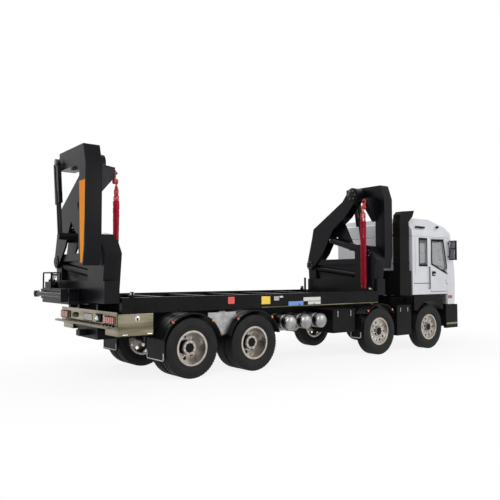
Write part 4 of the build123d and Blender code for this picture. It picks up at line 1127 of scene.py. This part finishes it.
@dataclass
class Crane:
    """One of the two lifting cranes: booms, cylinders, sling, pipes and valves.

    Offsets (in, out, off) run along the truck from the bay's middle, pairs are Y and Z.
    """

    name: str
    way: int
    bay_x: float = -1.180
    boom_in: float = 3.150
    boom_out: float = 3.410
    arm_in: float = 3.450
    arm_out: float = 3.730
    sling_off: float = 3.068
    fold_off: float = 3.780
    foot: Pair = (1.050, 2.050)
    knuckle: Pair = (-0.400, 3.700)
    lift_base: Pair = (-0.880, 2.300)
    fold_foot: Pair = (-0.170, 2.450)
    fold_eye: Pair = (0.030, 3.740)
    sling_y: float = -0.810
    link_z: float = 3.360
    ring_z: float = 3.186
    sling_low: float = 1.500
    strand: float = 0.046
    strand_top: float = 3.128
    link_pitch: float = 0.046
    sleeve_top: float = 3.040
    sleeve_radius: float = 0.034
    stabiliser_off: float = 3.560
    housing_top: float = 1.565

    def x(self, off: float) -> float:
        """Place along the truck at a distance from the bay's middle."""
        return self.bay_x + self.way * off

    def build(self, frame: Frame) -> None:
        """Form and dress the crane."""
        prefix = f"crane_{self.name}"
        for part, width in (("base", 0.008), ("lower_boom", 0.010), ("upper_boom", 0.014)):
            frame.soften(f"{prefix}_{part}", "crane", width)
        for part in ("lift_barrel", "fold_barrel", "stabiliser_beam", "stabiliser_leg"):
            frame.finish(f"{prefix}_{part}", "crane")
        frame.finish(f"{prefix}_lift_rod", "chrome")
        frame.finish(f"{prefix}_fold_rod", "dark_rod")
        frame.finish(f"{prefix}_shackle", "link")
        self.pins()
        self.pipes()
        self.sling()
        self.arm_trim()
        self.valves()
        self.rod_guides()

    def cap(self, mould: Mould, spot: Pair, off: float, outward: int, radius: float) -> None:
        """Lay a bolted pin cover on a boom's face.

        Args:
            mould: The piece that takes it in.
            spot: The pin's Y and Z.
            off: The face's distance from the bay's middle.
            outward: 1 if the cover faces away from the bay, else -1.
            radius: The cover's radius.
        """
        x = self.x(off)
        way = self.way * outward
        mould.use("crane").lathe([(-0.004, radius), (0.010, radius), (0.014, radius * 0.94),
                                  (0.014, radius * 0.45), (0.022, radius * 0.40), (0.022, 0.001)],
                                 (x, *spot), Axis.X, 36, flip=way)
        mould.use("steel")
        for cosine, sine in circle(6):
            place = (x + way * 0.014, spot[0] + radius * 0.70 * cosine, spot[1] + radius * 0.70 * sine)
            mould.lathe([(0.0, 0.012), (0.009, 0.012), (0.012, 0.008)], place, Axis.X, 6, flip=way)

    def pins(self) -> None:
        """Cover the boom's pins and the lift cylinder's base pin."""
        low = Mould(f"{self.name}_lower_boom_covers", "crane")
        self.cap(low, self.foot, self.boom_in, -1, 0.115)
        self.cap(low, self.foot, self.boom_out, 1, 0.115)
        self.cap(low, self.knuckle, self.boom_in, -1, 0.145)
        low.done(angle=28.0, body=f"crane_{self.name}_lower_boom")
        base = Mould(f"{self.name}_base_covers", "crane")
        self.cap(base, self.lift_base, self.boom_in, -1, 0.095)
        self.cap(base, self.lift_base, self.boom_out, 1, 0.095)
        base.done(angle=28.0)

    def pipes(self) -> None:
        """Run hydraulic pipes along both booms, with clamps on the lower one."""
        run = Mould(f"{self.name}_boom_pipes", "hose")
        path = [(1.085, 2.440), (0.985, 2.790), (0.945, 2.965), (0.820, 3.043), (-0.060, 3.560)]
        stand_off = 0.016
        for k in range(2):
            x = self.x(self.boom_in + 0.100 + 0.05 * k)
            run.bent([(x, y + stand_off * 0.8, z + stand_off * 0.6) for y, z in path], 0.013)
        run.use("steel")
        near, far = self.x(self.boom_in + 0.075), self.x(self.boom_in + 0.175)
        for y, z in ((1.025, 2.640), (0.700, 3.110), (0.380, 3.302), (0.060, 3.494)):
            run.box((near, y - 0.022, z - 0.022), (far, y + 0.03, z + 0.03))
        run.done(angle=40.0, body=f"crane_{self.name}_lower_boom")
        arm = Mould(f"{self.name}_arm_pipes", "hose")
        path = [(-0.836, 2.300), (-0.836, 2.360), (-0.836, 3.380), (-0.836, 3.470), (-0.800, 3.505),
                (-0.690, 3.566), (-0.600, 3.566), (-0.320, 3.566)]
        for k in range(2):
            x = self.x(self.arm_out - 0.075 - 0.04 * k)
            arm.bent([(x, y, z) for y, z in path], 0.012)
        arm.done(angle=40.0, body=f"crane_{self.name}_upper_boom")

    @staticmethod
    def link(bar: float = 0.0085, half: float = 0.022, straight: float = 0.016) -> Mould:
        """Make one upright chain link round the origin.

        Args:
            bar: The bar's radius.
            half: Half the loop's width at the bar's middle.
            straight: Half the length of its straight sides.

        Returns:
            A mould that holds the link.
        """
        rings = []
        for across, up in circle(20, 0.5):
            y, z = half * across, half * up + math.copysign(straight, up)
            rings.append([(bar * sine, y + across * bar * cosine, z + up * bar * cosine)
                          for cosine, sine in circle(8)])
        return Mould("chain_link", "link").skin(rings + rings[:1], capped=False)

    def sling(self) -> None:
        """Hang a two-strand chain in red sleeves from the shackle."""
        body = f"crane_{self.name}_sling"
        x, y = self.x(self.sling_off), self.sling_y
        chain = Mould(f"{self.name}_sling_chain", "link")
        for half, inner, outer, z, steps in ((0.015, 0.026, 0.046, self.link_z, 28),
                                             (0.014, 0.046, 0.068, self.ring_z, 32)):
            chain.lathe([(-half, inner), (-half, outer), (half, outer), (half, inner)], (x, y, z), Axis.X,
                        steps, loop=True)
        runs = [(y, self.link_z - 0.066, 3)]
        sleeves = Mould(f"{self.name}_sling_sleeves", "sleeve")
        for place in (y - self.strand, y + self.strand):
            runs += [(place, self.strand_top, 3), (place, self.sling_low + 0.074, 2)]
            self.sleeve(sleeves, x, place, self.sleeve_top, self.sling_low + 0.075)
        for place, top, count in runs:
            chain.repeat(self.link(), Count=count, Twist=math.pi / 2, Offset=(0.0, 0.0, -self.link_pitch),
                         Centre=(x, place, top))
        chain.done(angle=60.0, body=body)
        piece = sleeves.done(angle=60.0, body=body)
        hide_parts(f"crane_{self.name}_sling")

    def sleeve(self, mould: Mould, x: float, y: float, top: float, low: float) -> None:
        """Loft one woven sleeve with soft folds.

        Args:
            mould: The piece that takes it in.
            x: Its place along the truck.
            y: Its place across the truck.
            top: Its upper end.
            low: Its lower end.
        """
        rings = []
        levels, steps = 90, 20
        for level in range(levels + 1):
            share = level / levels
            z = top + (low - top) * share
            fold = 0.0022 * math.sin(share * 61.0 + y * 40.0) + 0.0016 * math.sin(share * 143.0 + 1.3)
            flat = 1.0 - 0.22 * math.sin(share * math.pi) ** 2
            closing = 0.72 if level in (0, levels) else 1.0
            ring = []
            for step in range(steps):
                angle = 2 * math.pi * step / steps
                radius = (self.sleeve_radius + fold * math.cos(2 * angle + share * 9.0)) * closing
                ring.append((x + radius * flat * math.cos(angle), y + radius * math.sin(angle), z))
            rings.append(ring)
        mould.skin(rings)

    def arm_trim(self) -> None:
        """Dress the upper boom with its tapered stripe and weld beads."""
        body = f"crane_{self.name}_upper_boom"
        face = self.x(self.arm_out)
        out = self.way * 0.0015
        stripe = Mould(f"{self.name}_arm_stripe", "orange")
        outline = [(-0.868, 3.300), (-1.104, 3.300), (-1.100, 2.700), (-1.072, 2.200), (-1.030, 1.990),
                   (-0.955, 1.990), (-0.918, 2.400), (-0.890, 2.900)]
        stripe.prism(outline, Axis.X, face - out, face + out)
        stripe.done(body=body)
        welds = Mould(f"{self.name}_arm_welds", "crane")
        for off in (self.arm_in + 0.012, self.arm_out - 0.012):
            x = self.x(off)
            welds.rod((x, -1.0, 3.880), (x, 0.05, 3.880), 0.009, 8)
            welds.rod((x, -1.117, 2.260), (x, -1.117, 3.555), 0.009, 8)
        welds.done(angle=60.0, body=body)

    def rod_guides(self) -> None:
        """Hang a crosshead and two guide rails on the fold cylinder's rod, clear of its barrel."""
        foot, eye = Vector(self.fold_foot), Vector(self.fold_eye)
        along = (foot - eye).normalized()
        across = Vector((-along.y, along.x))
        span = sorted((self.x(self.fold_off - 0.034), self.x(self.fold_off + 0.028)))
        guides = Mould(f"{self.name}_fold_guides", "crane")
        for near, far, inner, outer in ((0.030, 0.085, -0.098, 0.098), (0.060, 0.740, 0.048, 0.098),
                                        (0.060, 0.740, -0.098, -0.048)):
            corners = [eye + along * d + across * side for d, side in
                       ((near, inner), (near, outer), (far, outer), (far, inner))]
            guides.prism([tuple(corner) for corner in corners], Axis.X, *span)
        guides.done(body=f"crane_{self.name}_fold_rod")

    def valves(self) -> None:
        """Stand the valve block, its levers, a pipe guard and formed pipes on the stabiliser's housing."""
        x, top = self.x(self.stabiliser_off), self.housing_top
        block = Mould(f"{self.name}_valve_block", "frame")
        block.box((x - 0.075, 0.700, top - 0.004), (x + 0.075, 1.000, top + 0.110))
        knob = [(-0.014, 0.004), (-0.010, 0.012), (0.010, 0.012), (0.014, 0.004)]
        for k in range(6):
            y = 0.730 + 0.048 * k
            block.use("frame").box((x - 0.018, y - 0.016, top + 0.110), (x + 0.018, y + 0.016, top + 0.150))
            block.use("steel").rod((x, y, top + 0.145), (x - self.way * 0.045, y, top + 0.235), 0.006, 8)
            block.use("plastic").lathe(knob, (x - self.way * 0.047, y, top + 0.240), Axis.Z, 12)
        block.done(0.004)
        guard = Mould(f"{self.name}_valve_guard", "frame")
        bar = 0.275
        hoop = [(0.640, -0.02), (0.640, 0.230), (0.640, bar), (0.690, bar), (1.020, bar), (1.070, bar),
                (1.070, 0.230), (1.070, -0.02)]
        for place in (x - 0.082, x + 0.082):
            guard.bent([(place, y, top + rise) for y, rise in hoop], 0.015)
        for y in (0.690, 0.860, 1.020):
            guard.rod((x - 0.082, y, top + bar), (x + 0.082, y, top + bar), 0.010, 10)
        guard.done(angle=50.0)
        pipes = Mould(f"{self.name}_valve_pipes", "hose")
        for k in range(5):
            y = 0.680 - 0.035 * k
            place = x + 0.060 - 0.030 * k
            path = [(0.705, 0.050), (0.660 - 0.02 * k, 0.055), (y - 0.10, 0.13), (y - 0.22, 0.10),
                    (y - 0.26, 0.02), (y - 0.26, -0.02)]
            pipes.bent([(place, across, top + rise) for across, rise in path], 0.012)
        pipes.done(angle=50.0)


@dataclass(frozen=True)
class Plate:
    """A blank plate on the bed's side rail."""

    name: str
    finish: str
    x: Pair
    z: Pair


@dataclass
class Bed:
    """The container bed's rails, locks and blank plates."""

    rail_y: float = 1.180
    rail_low: float = 1.170
    lock_y: float = 1.1295
    lock_half: float = 2.9265
    middle: float = -1.180
    lock_head: tuple[Point, ...] = ((1.468, 0.046, 0.026), (1.482, 0.050, 0.029), (1.500, 0.046, 0.026),
                                    (1.514, 0.030, 0.018), (1.5195, 0.012, 0.008))
    handle_z: float = 1.150
    bolt_z: Pair = (1.205, 1.395)
    bolt: tuple[Pair, ...] = ((-0.004, 0.018), (0.003, 0.018), (0.003, 0.013), (0.013, 0.012))
    plates: tuple[Plate, ...] = (
        Plate("red", "red_plate", (-2.214, -2.068), (1.268, 1.396)),
        Plate("yellow", "yellow_plate", (-1.431, -1.216), (1.238, 1.388)),
        Plate("small_grey", "grey_plate", (-1.121, -0.993), (1.300, 1.382)),
        Plate("small_pale", "white_plate", (-0.980, -0.890), (1.352, 1.386)),
        Plate("blue", "blue_plate", (-0.747, -0.350), (1.182, 1.272)),
        Plate("pale_long", "white_plate", (-0.344, 0.135), (1.268, 1.344)),
        Plate("pale_short", "white_plate", (-0.220, 0.134), (1.198, 1.258)),
    )

    def build(self, frame: Frame) -> None:
        """Form the bed and dress its rails."""
        frame.soften("bed_frame", "frame", 0.006)
        for plate in self.plates:
            made = Mould(f"bed_plate_{plate.name}", plate.finish)
            (x0, x1), (z0, z1) = plate.x, plate.z
            made.box((x0, -self.rail_y - 0.003, z0), (x1, -self.rail_y + 0.003, z1))
            made.use("steel")
            for x in (x0 + 0.012, x1 - 0.012):
                spot = (x, -self.rail_y - 0.002, (z0 + z1) / 2)
                made.lathe([(0.002, 0.005), (-0.003, 0.005), (-0.004, 0.002)], spot, Axis.Y, 8)
            made.done(0.0015)
        self.trims()
        self.locks()

    def trims(self) -> None:
        """Lay the pale edge line and bolt rows on the rails."""
        for side in Side:
            sign, name = side.value, side.tag
            line = Mould(f"bed_edge_line_{name}", "polished")
            line.box((-1.420, 1.178, self.rail_low), (1.940, 1.184, self.rail_low + 0.018), sign)
            line.done(0.002)
            bolts = Mould(f"bed_bolts_{name}", "frame")
            for z in self.bolt_z:
                bolts.row(self.bolt, Axis.Y, 6, sign, Count=15, Offset=(0.400, 0.0, 0.0),
                          Centre=(-4.050, sign * self.rail_y, z))
            bolts.done(angle=30.0)

    def locks(self) -> None:
        """Give each twistlock its pointed head and handle."""
        for end in (-1, 1):
            for side in Side:
                x = self.middle + end * self.lock_half
                y = side.value * self.lock_y
                head = Mould(f"twistlock_head_{'front' if end > 0 else 'rear'}_{side.tag}", "steel")
                head.skin([[(x + half_x * cosine, y + half_y * sine, z) for cosine, sine in circle(16)]
                           for z, half_x, half_y in self.lock_head])
                low = self.handle_z
                head.use("red_plate").rod((x, y, low), (x, y + side.value * 0.055, low), 0.011)
                head.rod((x, y, low), (x, y, low + 0.040), 0.016)
                head.done(angle=40.0)


@dataclass
class Tail:
    """The polished pieces: tail panel with lamps and plate, step, tool boxes and tanks."""

    panel_x: float = -4.412
    lamp_x: float = -4.440
    lamp_z: Pair = (1.010, 1.130)
    lamp_y: Pair = (0.830, 1.190)
    lens_count: int = 5
    box_y: float = 1.200
    air_tanks_x: Point = (-0.618, -0.191, 0.236)
    air_tank_z: float = 0.850
    fuel_straps_x: Point = (-0.500, 0.150, 0.800)

    def build(self, frame: Frame) -> None:
        """Form the polished boxes and dress the tail."""
        frame.soften("polished_boxes", "polished", 0.008)
        self.lamps()
        self.plate()
        self.latches()
        self.rivets()
        self.tanks()

    def lamps(self) -> None:
        """Fill each lamp housing with a row of lenses behind a frame."""
        x, (y0, y1), (z0, z1) = self.lamp_x, self.lamp_y, self.lamp_z
        width = (y1 - y0) / self.lens_count
        half, middle = width / 2 - 0.007, (z0 + z1) / 2
        for side in Side:
            sign = side.value
            group = Mould(f"tail_lamps_{side.tag}", "plastic")
            group.box((x - 0.004, y0 - 0.004, z0 - 0.006), (x + 0.006, y1 + 0.004, z1 + 0.006), sign)
            for k in range(self.lens_count):
                y = y0 + width * (k + 0.5)
                outer_left = side is Side.LEFT and k == self.lens_count - 1
                rings = [[(x - depth, sign * y + half * s * share, middle + 0.052 * t * share)
                          for s, t in ((-1, -1), (1, -1), (1, 1), (-1, 1))]
                         for depth, share in ((-0.002, 1.0), (0.008, 1.0), (0.012, 0.9), (0.0125, 0.3))]
                group.use("amber_lens" if outer_left else "red_lens").skin(rings)
            group.done(angle=25.0)

    def plate(self) -> None:
        """Put the blank plate and two round sockets between the lamps, one on a base."""
        plate = Mould("tail_blank_plate", "white_plate")
        x = self.panel_x
        plate.box((x - 0.006, -0.240, 1.015), (x + 0.002, 0.120, 1.125))
        plate.use("plastic").box((x - 0.004, -0.252, 1.004), (x + 0.002, 0.132, 1.136))
        plate.box((x - 0.020, -0.640, 1.010), (x + 0.002, -0.440, 1.150))
        cup = [(0.0, 0.052), (-0.030, 0.050), (-0.034, 0.040), (-0.026, 0.036), (-0.026, 0.001)]
        plate.use("chrome").lathe(cup, (x - 0.018, -0.540, 1.080), Axis.X, 28)
        cup = [(0.004, 0.045), (-0.045, 0.045), (-0.048, 0.036), (-0.020, 0.033), (-0.020, 0.001)]
        plate.use("steel").lathe(cup, (x, 0.520, 1.080), Axis.X, 28)
        plate.done(0.002)

    def latches(self) -> None:
        """Put a latch, a lid line and hinges on each tool box."""
        face = self.box_y
        for side in Side:
            sign = side.value
            latch = Mould(f"tool_box_latch_{side.tag}", "chrome")
            latch.lathe([(0.0, 0.046), (0.005, 0.046), (0.007, 0.040), (0.007, 0.001)],
                        (-4.040, sign * face, 1.085), Axis.Y, 28, flip=sign)
            latch.use("plastic").box((-4.052, face, 1.050), (-4.028, face + 0.013, 1.098), sign)
            latch.use("polished").box((-4.372, face - 0.002, 1.150), (-3.758, face + 0.009, 1.163), sign)
            y = sign * (face + 0.003)
            for x in (-4.300, -3.860):
                latch.use("chrome").rod((x, y, 0.832), (x + 0.09, y, 0.832), 0.009, 10)
            latch.done(0.002)

    def rivets(self) -> None:
        """Set rivet rows along the panel and studs along the step bar."""
        rivets = Mould("tail_rivets", "chrome")
        rivet = [(0.003, 0.008), (-0.001, 0.008), (-0.004, 0.005), (-0.005, 0.001)]
        for z in (0.965, 1.185):
            rivets.row(rivet, Axis.X, 8, Count=19, Offset=(0.0, 0.130, 0.0),
                       Centre=(self.panel_x, -1.170, z))
        rivets.done(angle=50.0)
        studs = Mould("step_studs", "steel")
        stud = [(-0.002, 0.006), (0.002, 0.005), (0.003, 0.001)]
        for x in (-4.532, -4.515, -4.498):
            studs.row(stud, Axis.Z, 6, Count=78, Offset=(0.0, 0.030, 0.0), Centre=(x, -1.155, 0.975))
        studs.done(angle=50.0)

    def tanks(self) -> None:
        """Dome and wrap the air tanks, and band and cap the fuel tank."""
        domes = Mould("air_tank_ends", "tank")
        straps = Mould("tank_straps", "steel")
        z = self.air_tank_z
        dome = [(0.020, 0.147), (0.0, 0.147), (-0.012, 0.142), (-0.040, 0.118), (-0.058, 0.080),
                (-0.066, 0.040), (-0.068, 0.001)]
        wrap = [(-0.635, 0.143), (-0.635, 0.1465), (0.0, 0.1465), (0.0, 0.143)]
        band = [(-0.020, 0.144), (-0.020, 0.149), (0.020, 0.149), (0.020, 0.144)]
        for x in self.air_tanks_x:
            # A black sleeve over each air tank's body, so only its domed end shows pale.
            straps.use("frame").lathe(wrap, (x, -0.452, z), Axis.Y, 40, loop=True)
            domes.lathe(dome, (x, -1.100, z), Axis.Y, 40)
            for y in (-0.62, -0.95):
                straps.use("steel").lathe(band, (x, y, z), Axis.Y, 40, loop=True)
        domes.done(angle=40.0)
        for x in self.fuel_straps_x:
            straps.box((x - 0.025, 0.552, 0.472), (x + 0.025, 1.156, 0.480))
            straps.box((x - 0.025, 1.150, 0.472), (x + 0.025, 1.157, 1.046))
            straps.box((x - 0.025, 0.552, 1.040), (x + 0.025, 1.156, 1.047))
        straps.use("plastic").lathe([(0.0, 0.060), (0.030, 0.060), (0.040, 0.050), (0.040, 0.001)],
                                    (0.950, 0.900, 1.038), Axis.Z, 28)
        straps.done(0.002)


@dataclass(frozen=True)
class Guard:
    """One pair of mudguards: axle, inner radius, lowest angle and the sides' distances."""

    x: float
    radius: float
    lowest: float
    inner: float
    outer: float


@dataclass
class Mudguards:
    """Ribbed mudguards with markers and bordered flaps."""

    wall: float = 0.012
    height: float = 0.525
    lip: float = 0.016
    bands: Point = (0.2, 0.5, 0.78)
    guards: tuple[Guard, ...] = (
        Guard(3.850, 0.640, 40, 0.880, 1.205), Guard(2.000, 0.600, 42, 0.880, 1.215),
        Guard(-1.610, 0.590, 16, 0.610, 1.235), Guard(-2.980, 0.590, 16, 0.610, 1.235))

    def build(self, frame: Frame) -> None:
        """Dress every mudguard."""
        frame.finish("mudguards", "plastic")
        for number, guard in enumerate(self.guards):
            for side in Side:
                self.rib(number, guard, side)
        self.markers()
        self.flaps()

    def rib(self, number: int, guard: Guard, side: Side) -> None:
        """Roll the guard's outer lip and its raised bands."""
        sign = side.value
        lip = Mould(f"mudguard_bands_{number}_{side.tag}", "plastic")
        low, high = math.radians(guard.lowest), math.radians(180 - guard.lowest)
        steps, width, near = 40, guard.outer - guard.inner, guard.radius + self.wall - 0.003
        bands = [(guard.outer - self.lip, guard.outer, self.lip)]
        for share in self.bands:
            middle = guard.inner + width * share
            bands.append((middle - 0.012, middle + 0.012, 0.007))
        for inner, outer, rise in bands:
            far = guard.radius + self.wall + rise
            section = ((near, inner), (far, inner + 0.003), (far, outer - 0.003), (near, outer))
            rings = []
            for step in range(steps + 1):
                angle = low + (high - low) * step / steps
                rings.append([(guard.x + r * math.cos(angle), sign * y, self.height + r * math.sin(angle))
                              for r, y in section])
            lip.skin(rings)
        lip.done(angle=40.0)

    def markers(self) -> None:
        """Set amber and red marker lamps near the guards' ends."""
        base = [(-0.040, 0.034), (0.014, 0.034), (0.016, 0.030)]
        lens = [(-0.030, 0.028), (0.022, 0.027), (0.030, 0.019), (0.032, 0.001)]
        for side in Side:
            sign = side.value
            lamps = Mould(f"guard_markers_{side.tag}", "amber_lens")
            for guard in self.guards[1:]:
                far = guard.radius + self.wall + 0.014
                for turn, finish in ((49, "amber_lens"), (131, "red_lens")):
                    angle = math.radians(turn)
                    spot = (guard.x + far * math.cos(angle), sign * (guard.outer - 0.030),
                            self.height + far * math.sin(angle))
                    lamps.use("plastic").lathe(base, spot, Axis.Y, 20, flip=sign)
                    lamps.use(finish).lathe(lens, spot, Axis.Y, 20, flip=sign)
            lamps.done(angle=40.0)

    def flaps(self) -> None:
        """Edge the mud flaps with a white border."""
        for side in Side:
            sign = side.value
            edge = Mould(f"flap_borders_{side.tag}", "white_plate")
            half, inset, line, rise = 0.009, 0.018, 0.016, 0.150
            for x, y0, y1, z0 in ((-3.559, 0.610, 1.235, 0.330), (1.350, 0.880, 1.215, 0.390)):
                low, high = sorted((sign * (y0 + inset), sign * (y1 - inset)))
                foot = z0 + inset
                for y_low, y_high, z_high in ((low, high, foot + line), (low, low + line, z0 + rise),
                                              (high - line, high, z0 + rise)):
                    edge.box((x - half, y_low, foot), (x + half, y_high, z_high))
            edge.done()


@dataclass
class Chassis:
    """The running gear and rails under the bed."""

    rail_y: float = 0.450
    rivet_z: Pair = (0.760, 0.940)
    gap_x: float = -2.295

    def build(self, frame: Frame) -> None:
        """Finish the running gear, and add rivets, box lids and the panels between the driven wheels."""
        frame.soften("chassis_frame", "frame", 0.005)
        frame.finish("engine", "engine")
        frame.finish("axles", "frame")
        for axle in ("steer_front", "steer_rear"):
            for side in Side:
                frame.finish(f"knuckle_{axle}_{side.tag}", "frame")
        bolts = Mould("rail_rivets", "frame")
        rivet = [(-0.003, 0.013), (0.004, 0.012), (0.009, 0.006), (0.010, 0.001)]
        for side in Side:
            for z in self.rivet_z:
                bolts.row(rivet, Axis.Y, 8, side.value, Count=40, Offset=(0.220, 0.0, 0.0),
                          Centre=(-4.250, side.value * self.rail_y, z))
        bolts.done(angle=50.0)
        box = Mould("battery_box_lid", "plastic")
        box.box((0.550, -1.130, 1.010), (1.250, -0.535, 1.068))
        for x in (0.700, 1.100):
            box.use("steel").box((x - 0.014, -1.134, 0.900), (x + 0.014, -1.118, 1.030))
        for x in (2.780, 3.050):
            box.use("steel").box((x - 0.014, -1.156, 0.930), (x + 0.014, -1.144, 1.050))
        box.use("plastic").box((2.640, -1.160, 1.030), (3.190, -0.535, 1.088))
        box.done(0.008)
        gaps = Mould("wheel_gap_panels", "tank")
        half = [(0.105, 0.720), (0.145, 0.800), (0.190, 0.880), (0.245, 0.950), (0.310, 1.020),
                (0.310, 1.120)]
        outline = [(self.gap_x + x, z) for x, z in half] + [(self.gap_x - x, z) for x, z in reversed(half)]
        for side in Side:
            gaps.prism(outline, Axis.Y, side.value * 1.098, side.value * 1.114)
        gaps.done()


@dataclass
class Studio:
    """The pale floor, the soft light and the camera at the photograph's angle."""

    eye: Point = (-8.3805, -9.8387, 1.7914)
    yaw: float = 0.9142
    pitch: float = 0.0434
    roll: float = -0.0008
    lens: float = 41.816
    sensor: float = 36.0
    white: Colour = (1.0, 1.0, 1.0)
    grey: Colour = (0.86, 0.86, 0.86)
    sky: Colour = (0.90, 0.93, 1.0)
    sky_strength: float = 0.45
    floor_size: float = 70.0
    floor_glow: float = 0.86
    shadow_scale: Point = (1 / 7.0, 1 / 3.2, 0.0)
    shadow_fade: Pair = (0.75, 1.35)
    lamp_aim: Point = (0.0, 0.0, 1.5)

    def build(self) -> None:
        """Make the floor, world, lamps and camera."""
        self.floor()
        self.world()
        self.lamp("key", (-9.0, -9.0, 9.5), 6.0, 900.0)
        self.lamp("fill", (5.0, -12.0, 6.0), 7.0, 620.0)
        self.lamp("rim", (-2.0, 9.0, 8.0), 6.0, 480.0)
        self.camera()
        bpy.context.scene.view_settings.view_transform = "Standard"

    @staticmethod
    def shown(tree: bpy.types.NodeTree) -> bpy.types.NodeSocket:
        """One for the rays that show the backdrop itself: seen straight, in a mirror or through glass."""
        paths = tree.nodes.new("ShaderNodeLightPath").outputs
        seen = paths["Is Camera Ray"]
        for name in ("Is Glossy Ray", "Is Transmission Ray"):
            either = add_node(tree, "ShaderNodeMath", {"operation": "MAXIMUM"}, {0: seen, 1: paths[name]})
            seen = either.outputs[0]
        return seen

    def floor(self) -> None:
        """Lay a floor that is white to the camera and keeps the truck's shadow."""
        form = bmesh.new()
        bmesh.ops.create_grid(form, x_segments=2, y_segments=2, size=self.floor_size)
        mesh = bpy.data.meshes.new("studio_floor")
        form.to_mesh(mesh)
        form.free()
        graph = Graph("floor_white")
        graph.set(Base_Color=(*self.grey, 1.0), Roughness=0.9, Specular_IOR_Level=0.1)
        seen = Value(graph, self.shown(graph.tree))
        glow = graph.node("ShaderNodeEmission", {}, {"Color": (*self.white, 1.0), "Strength": 1.0})
        spread = graph.node("ShaderNodeMapping", {}, {"Vector": graph.coords(), "Scale": self.shadow_scale})
        length = graph.node("ShaderNodeVectorMath", {"operation": "LENGTH"}, {0: spread}, "Value")
        share = seen * (length.between(*self.shadow_fade) * (1.0 - self.floor_glow) + self.floor_glow)
        plain = Value(graph, graph.shader.outputs[0])
        tone = graph.node("ShaderNodeMixShader", {}, {0: share, 1: plain, 2: glow})
        graph.tree.links.new(tone.socket, graph.tree.nodes["Material Output"].inputs["Surface"])
        mesh.materials.append(graph.material)
        floor = bpy.data.objects.new("studio_floor", mesh)
        bpy.context.collection.objects.link(floor)

    def world(self) -> None:
        """Fill the world with soft pale light, white to the camera."""
        world = bpy.data.worlds.new("studio_world")
        bpy.context.scene.world = world
        world.use_nodes = True
        tree = world.node_tree
        tree.nodes.clear()
        tones = []
        for colour, strength in ((self.sky, self.sky_strength), (self.white, 1.0)):
            sockets = {"Color": (*colour, 1.0), "Strength": strength}
            tones.append(add_node(tree, "ShaderNodeBackground", {}, sockets).outputs[0])
        mix = add_node(tree, "ShaderNodeMixShader", {}, {0: self.shown(tree), 1: tones[0], 2: tones[1]})
        add_node(tree, "ShaderNodeOutputWorld", {}, {"Surface": mix.outputs[0]})

    def lamp(self, name: str, place: Point, size: float, power: float) -> None:
        """Hang one soft lamp that looks at the truck.

        Args:
            name: The lamp's name.
            place: Where it hangs.
            size: Side of the square lamp.
            power: Watts.
        """
        light = bpy.data.lights.new(name, "AREA")
        light.size = size
        light.energy = power
        holder = bpy.data.objects.new(name, light)
        holder.location = place
        ahead = Vector(self.lamp_aim) - Vector(place)
        holder.rotation_euler = ahead.to_track_quat("-Z", "Y").to_euler()
        bpy.context.collection.objects.link(holder)

    def camera(self) -> None:
        """Stand the camera where the photograph was taken."""
        data = bpy.data.cameras.new("photo_camera")
        data.lens = self.lens
        data.sensor_width = self.sensor
        data.clip_end = 200.0
        holder = bpy.data.objects.new("photo_camera", data)
        holder.location = self.eye
        level = math.cos(self.pitch)
        ahead = Vector((math.cos(self.yaw) * level, math.sin(self.yaw) * level, math.sin(self.pitch)))
        turn = ahead.to_track_quat("-Z", "Y").to_matrix().to_4x4() @ Matrix.Rotation(self.roll, 4, "Z")
        holder.rotation_euler = turn.to_euler()
        bpy.context.collection.objects.link(holder)
        bpy.context.scene.camera = holder


def main() -> None:
    """Build the sub-assemblies in order, then the studio."""
    logging.basicConfig(level=logging.INFO, format="%(message)s")
    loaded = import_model()
    frame = Frame(loaded["nodes"], loaded["record"])
    pieces = (Chassis(), Wheels(), Mudguards(), Bed(), Tail(), Cab(),
              Crane("front", 1, stabiliser_off=3.950), Crane("rear", -1))
    for piece in pieces:
        piece.build(frame)
        LOG.info("%s built", type(piece).__name__)
    Studio().build()


if __name__ == "__main__":
    main()
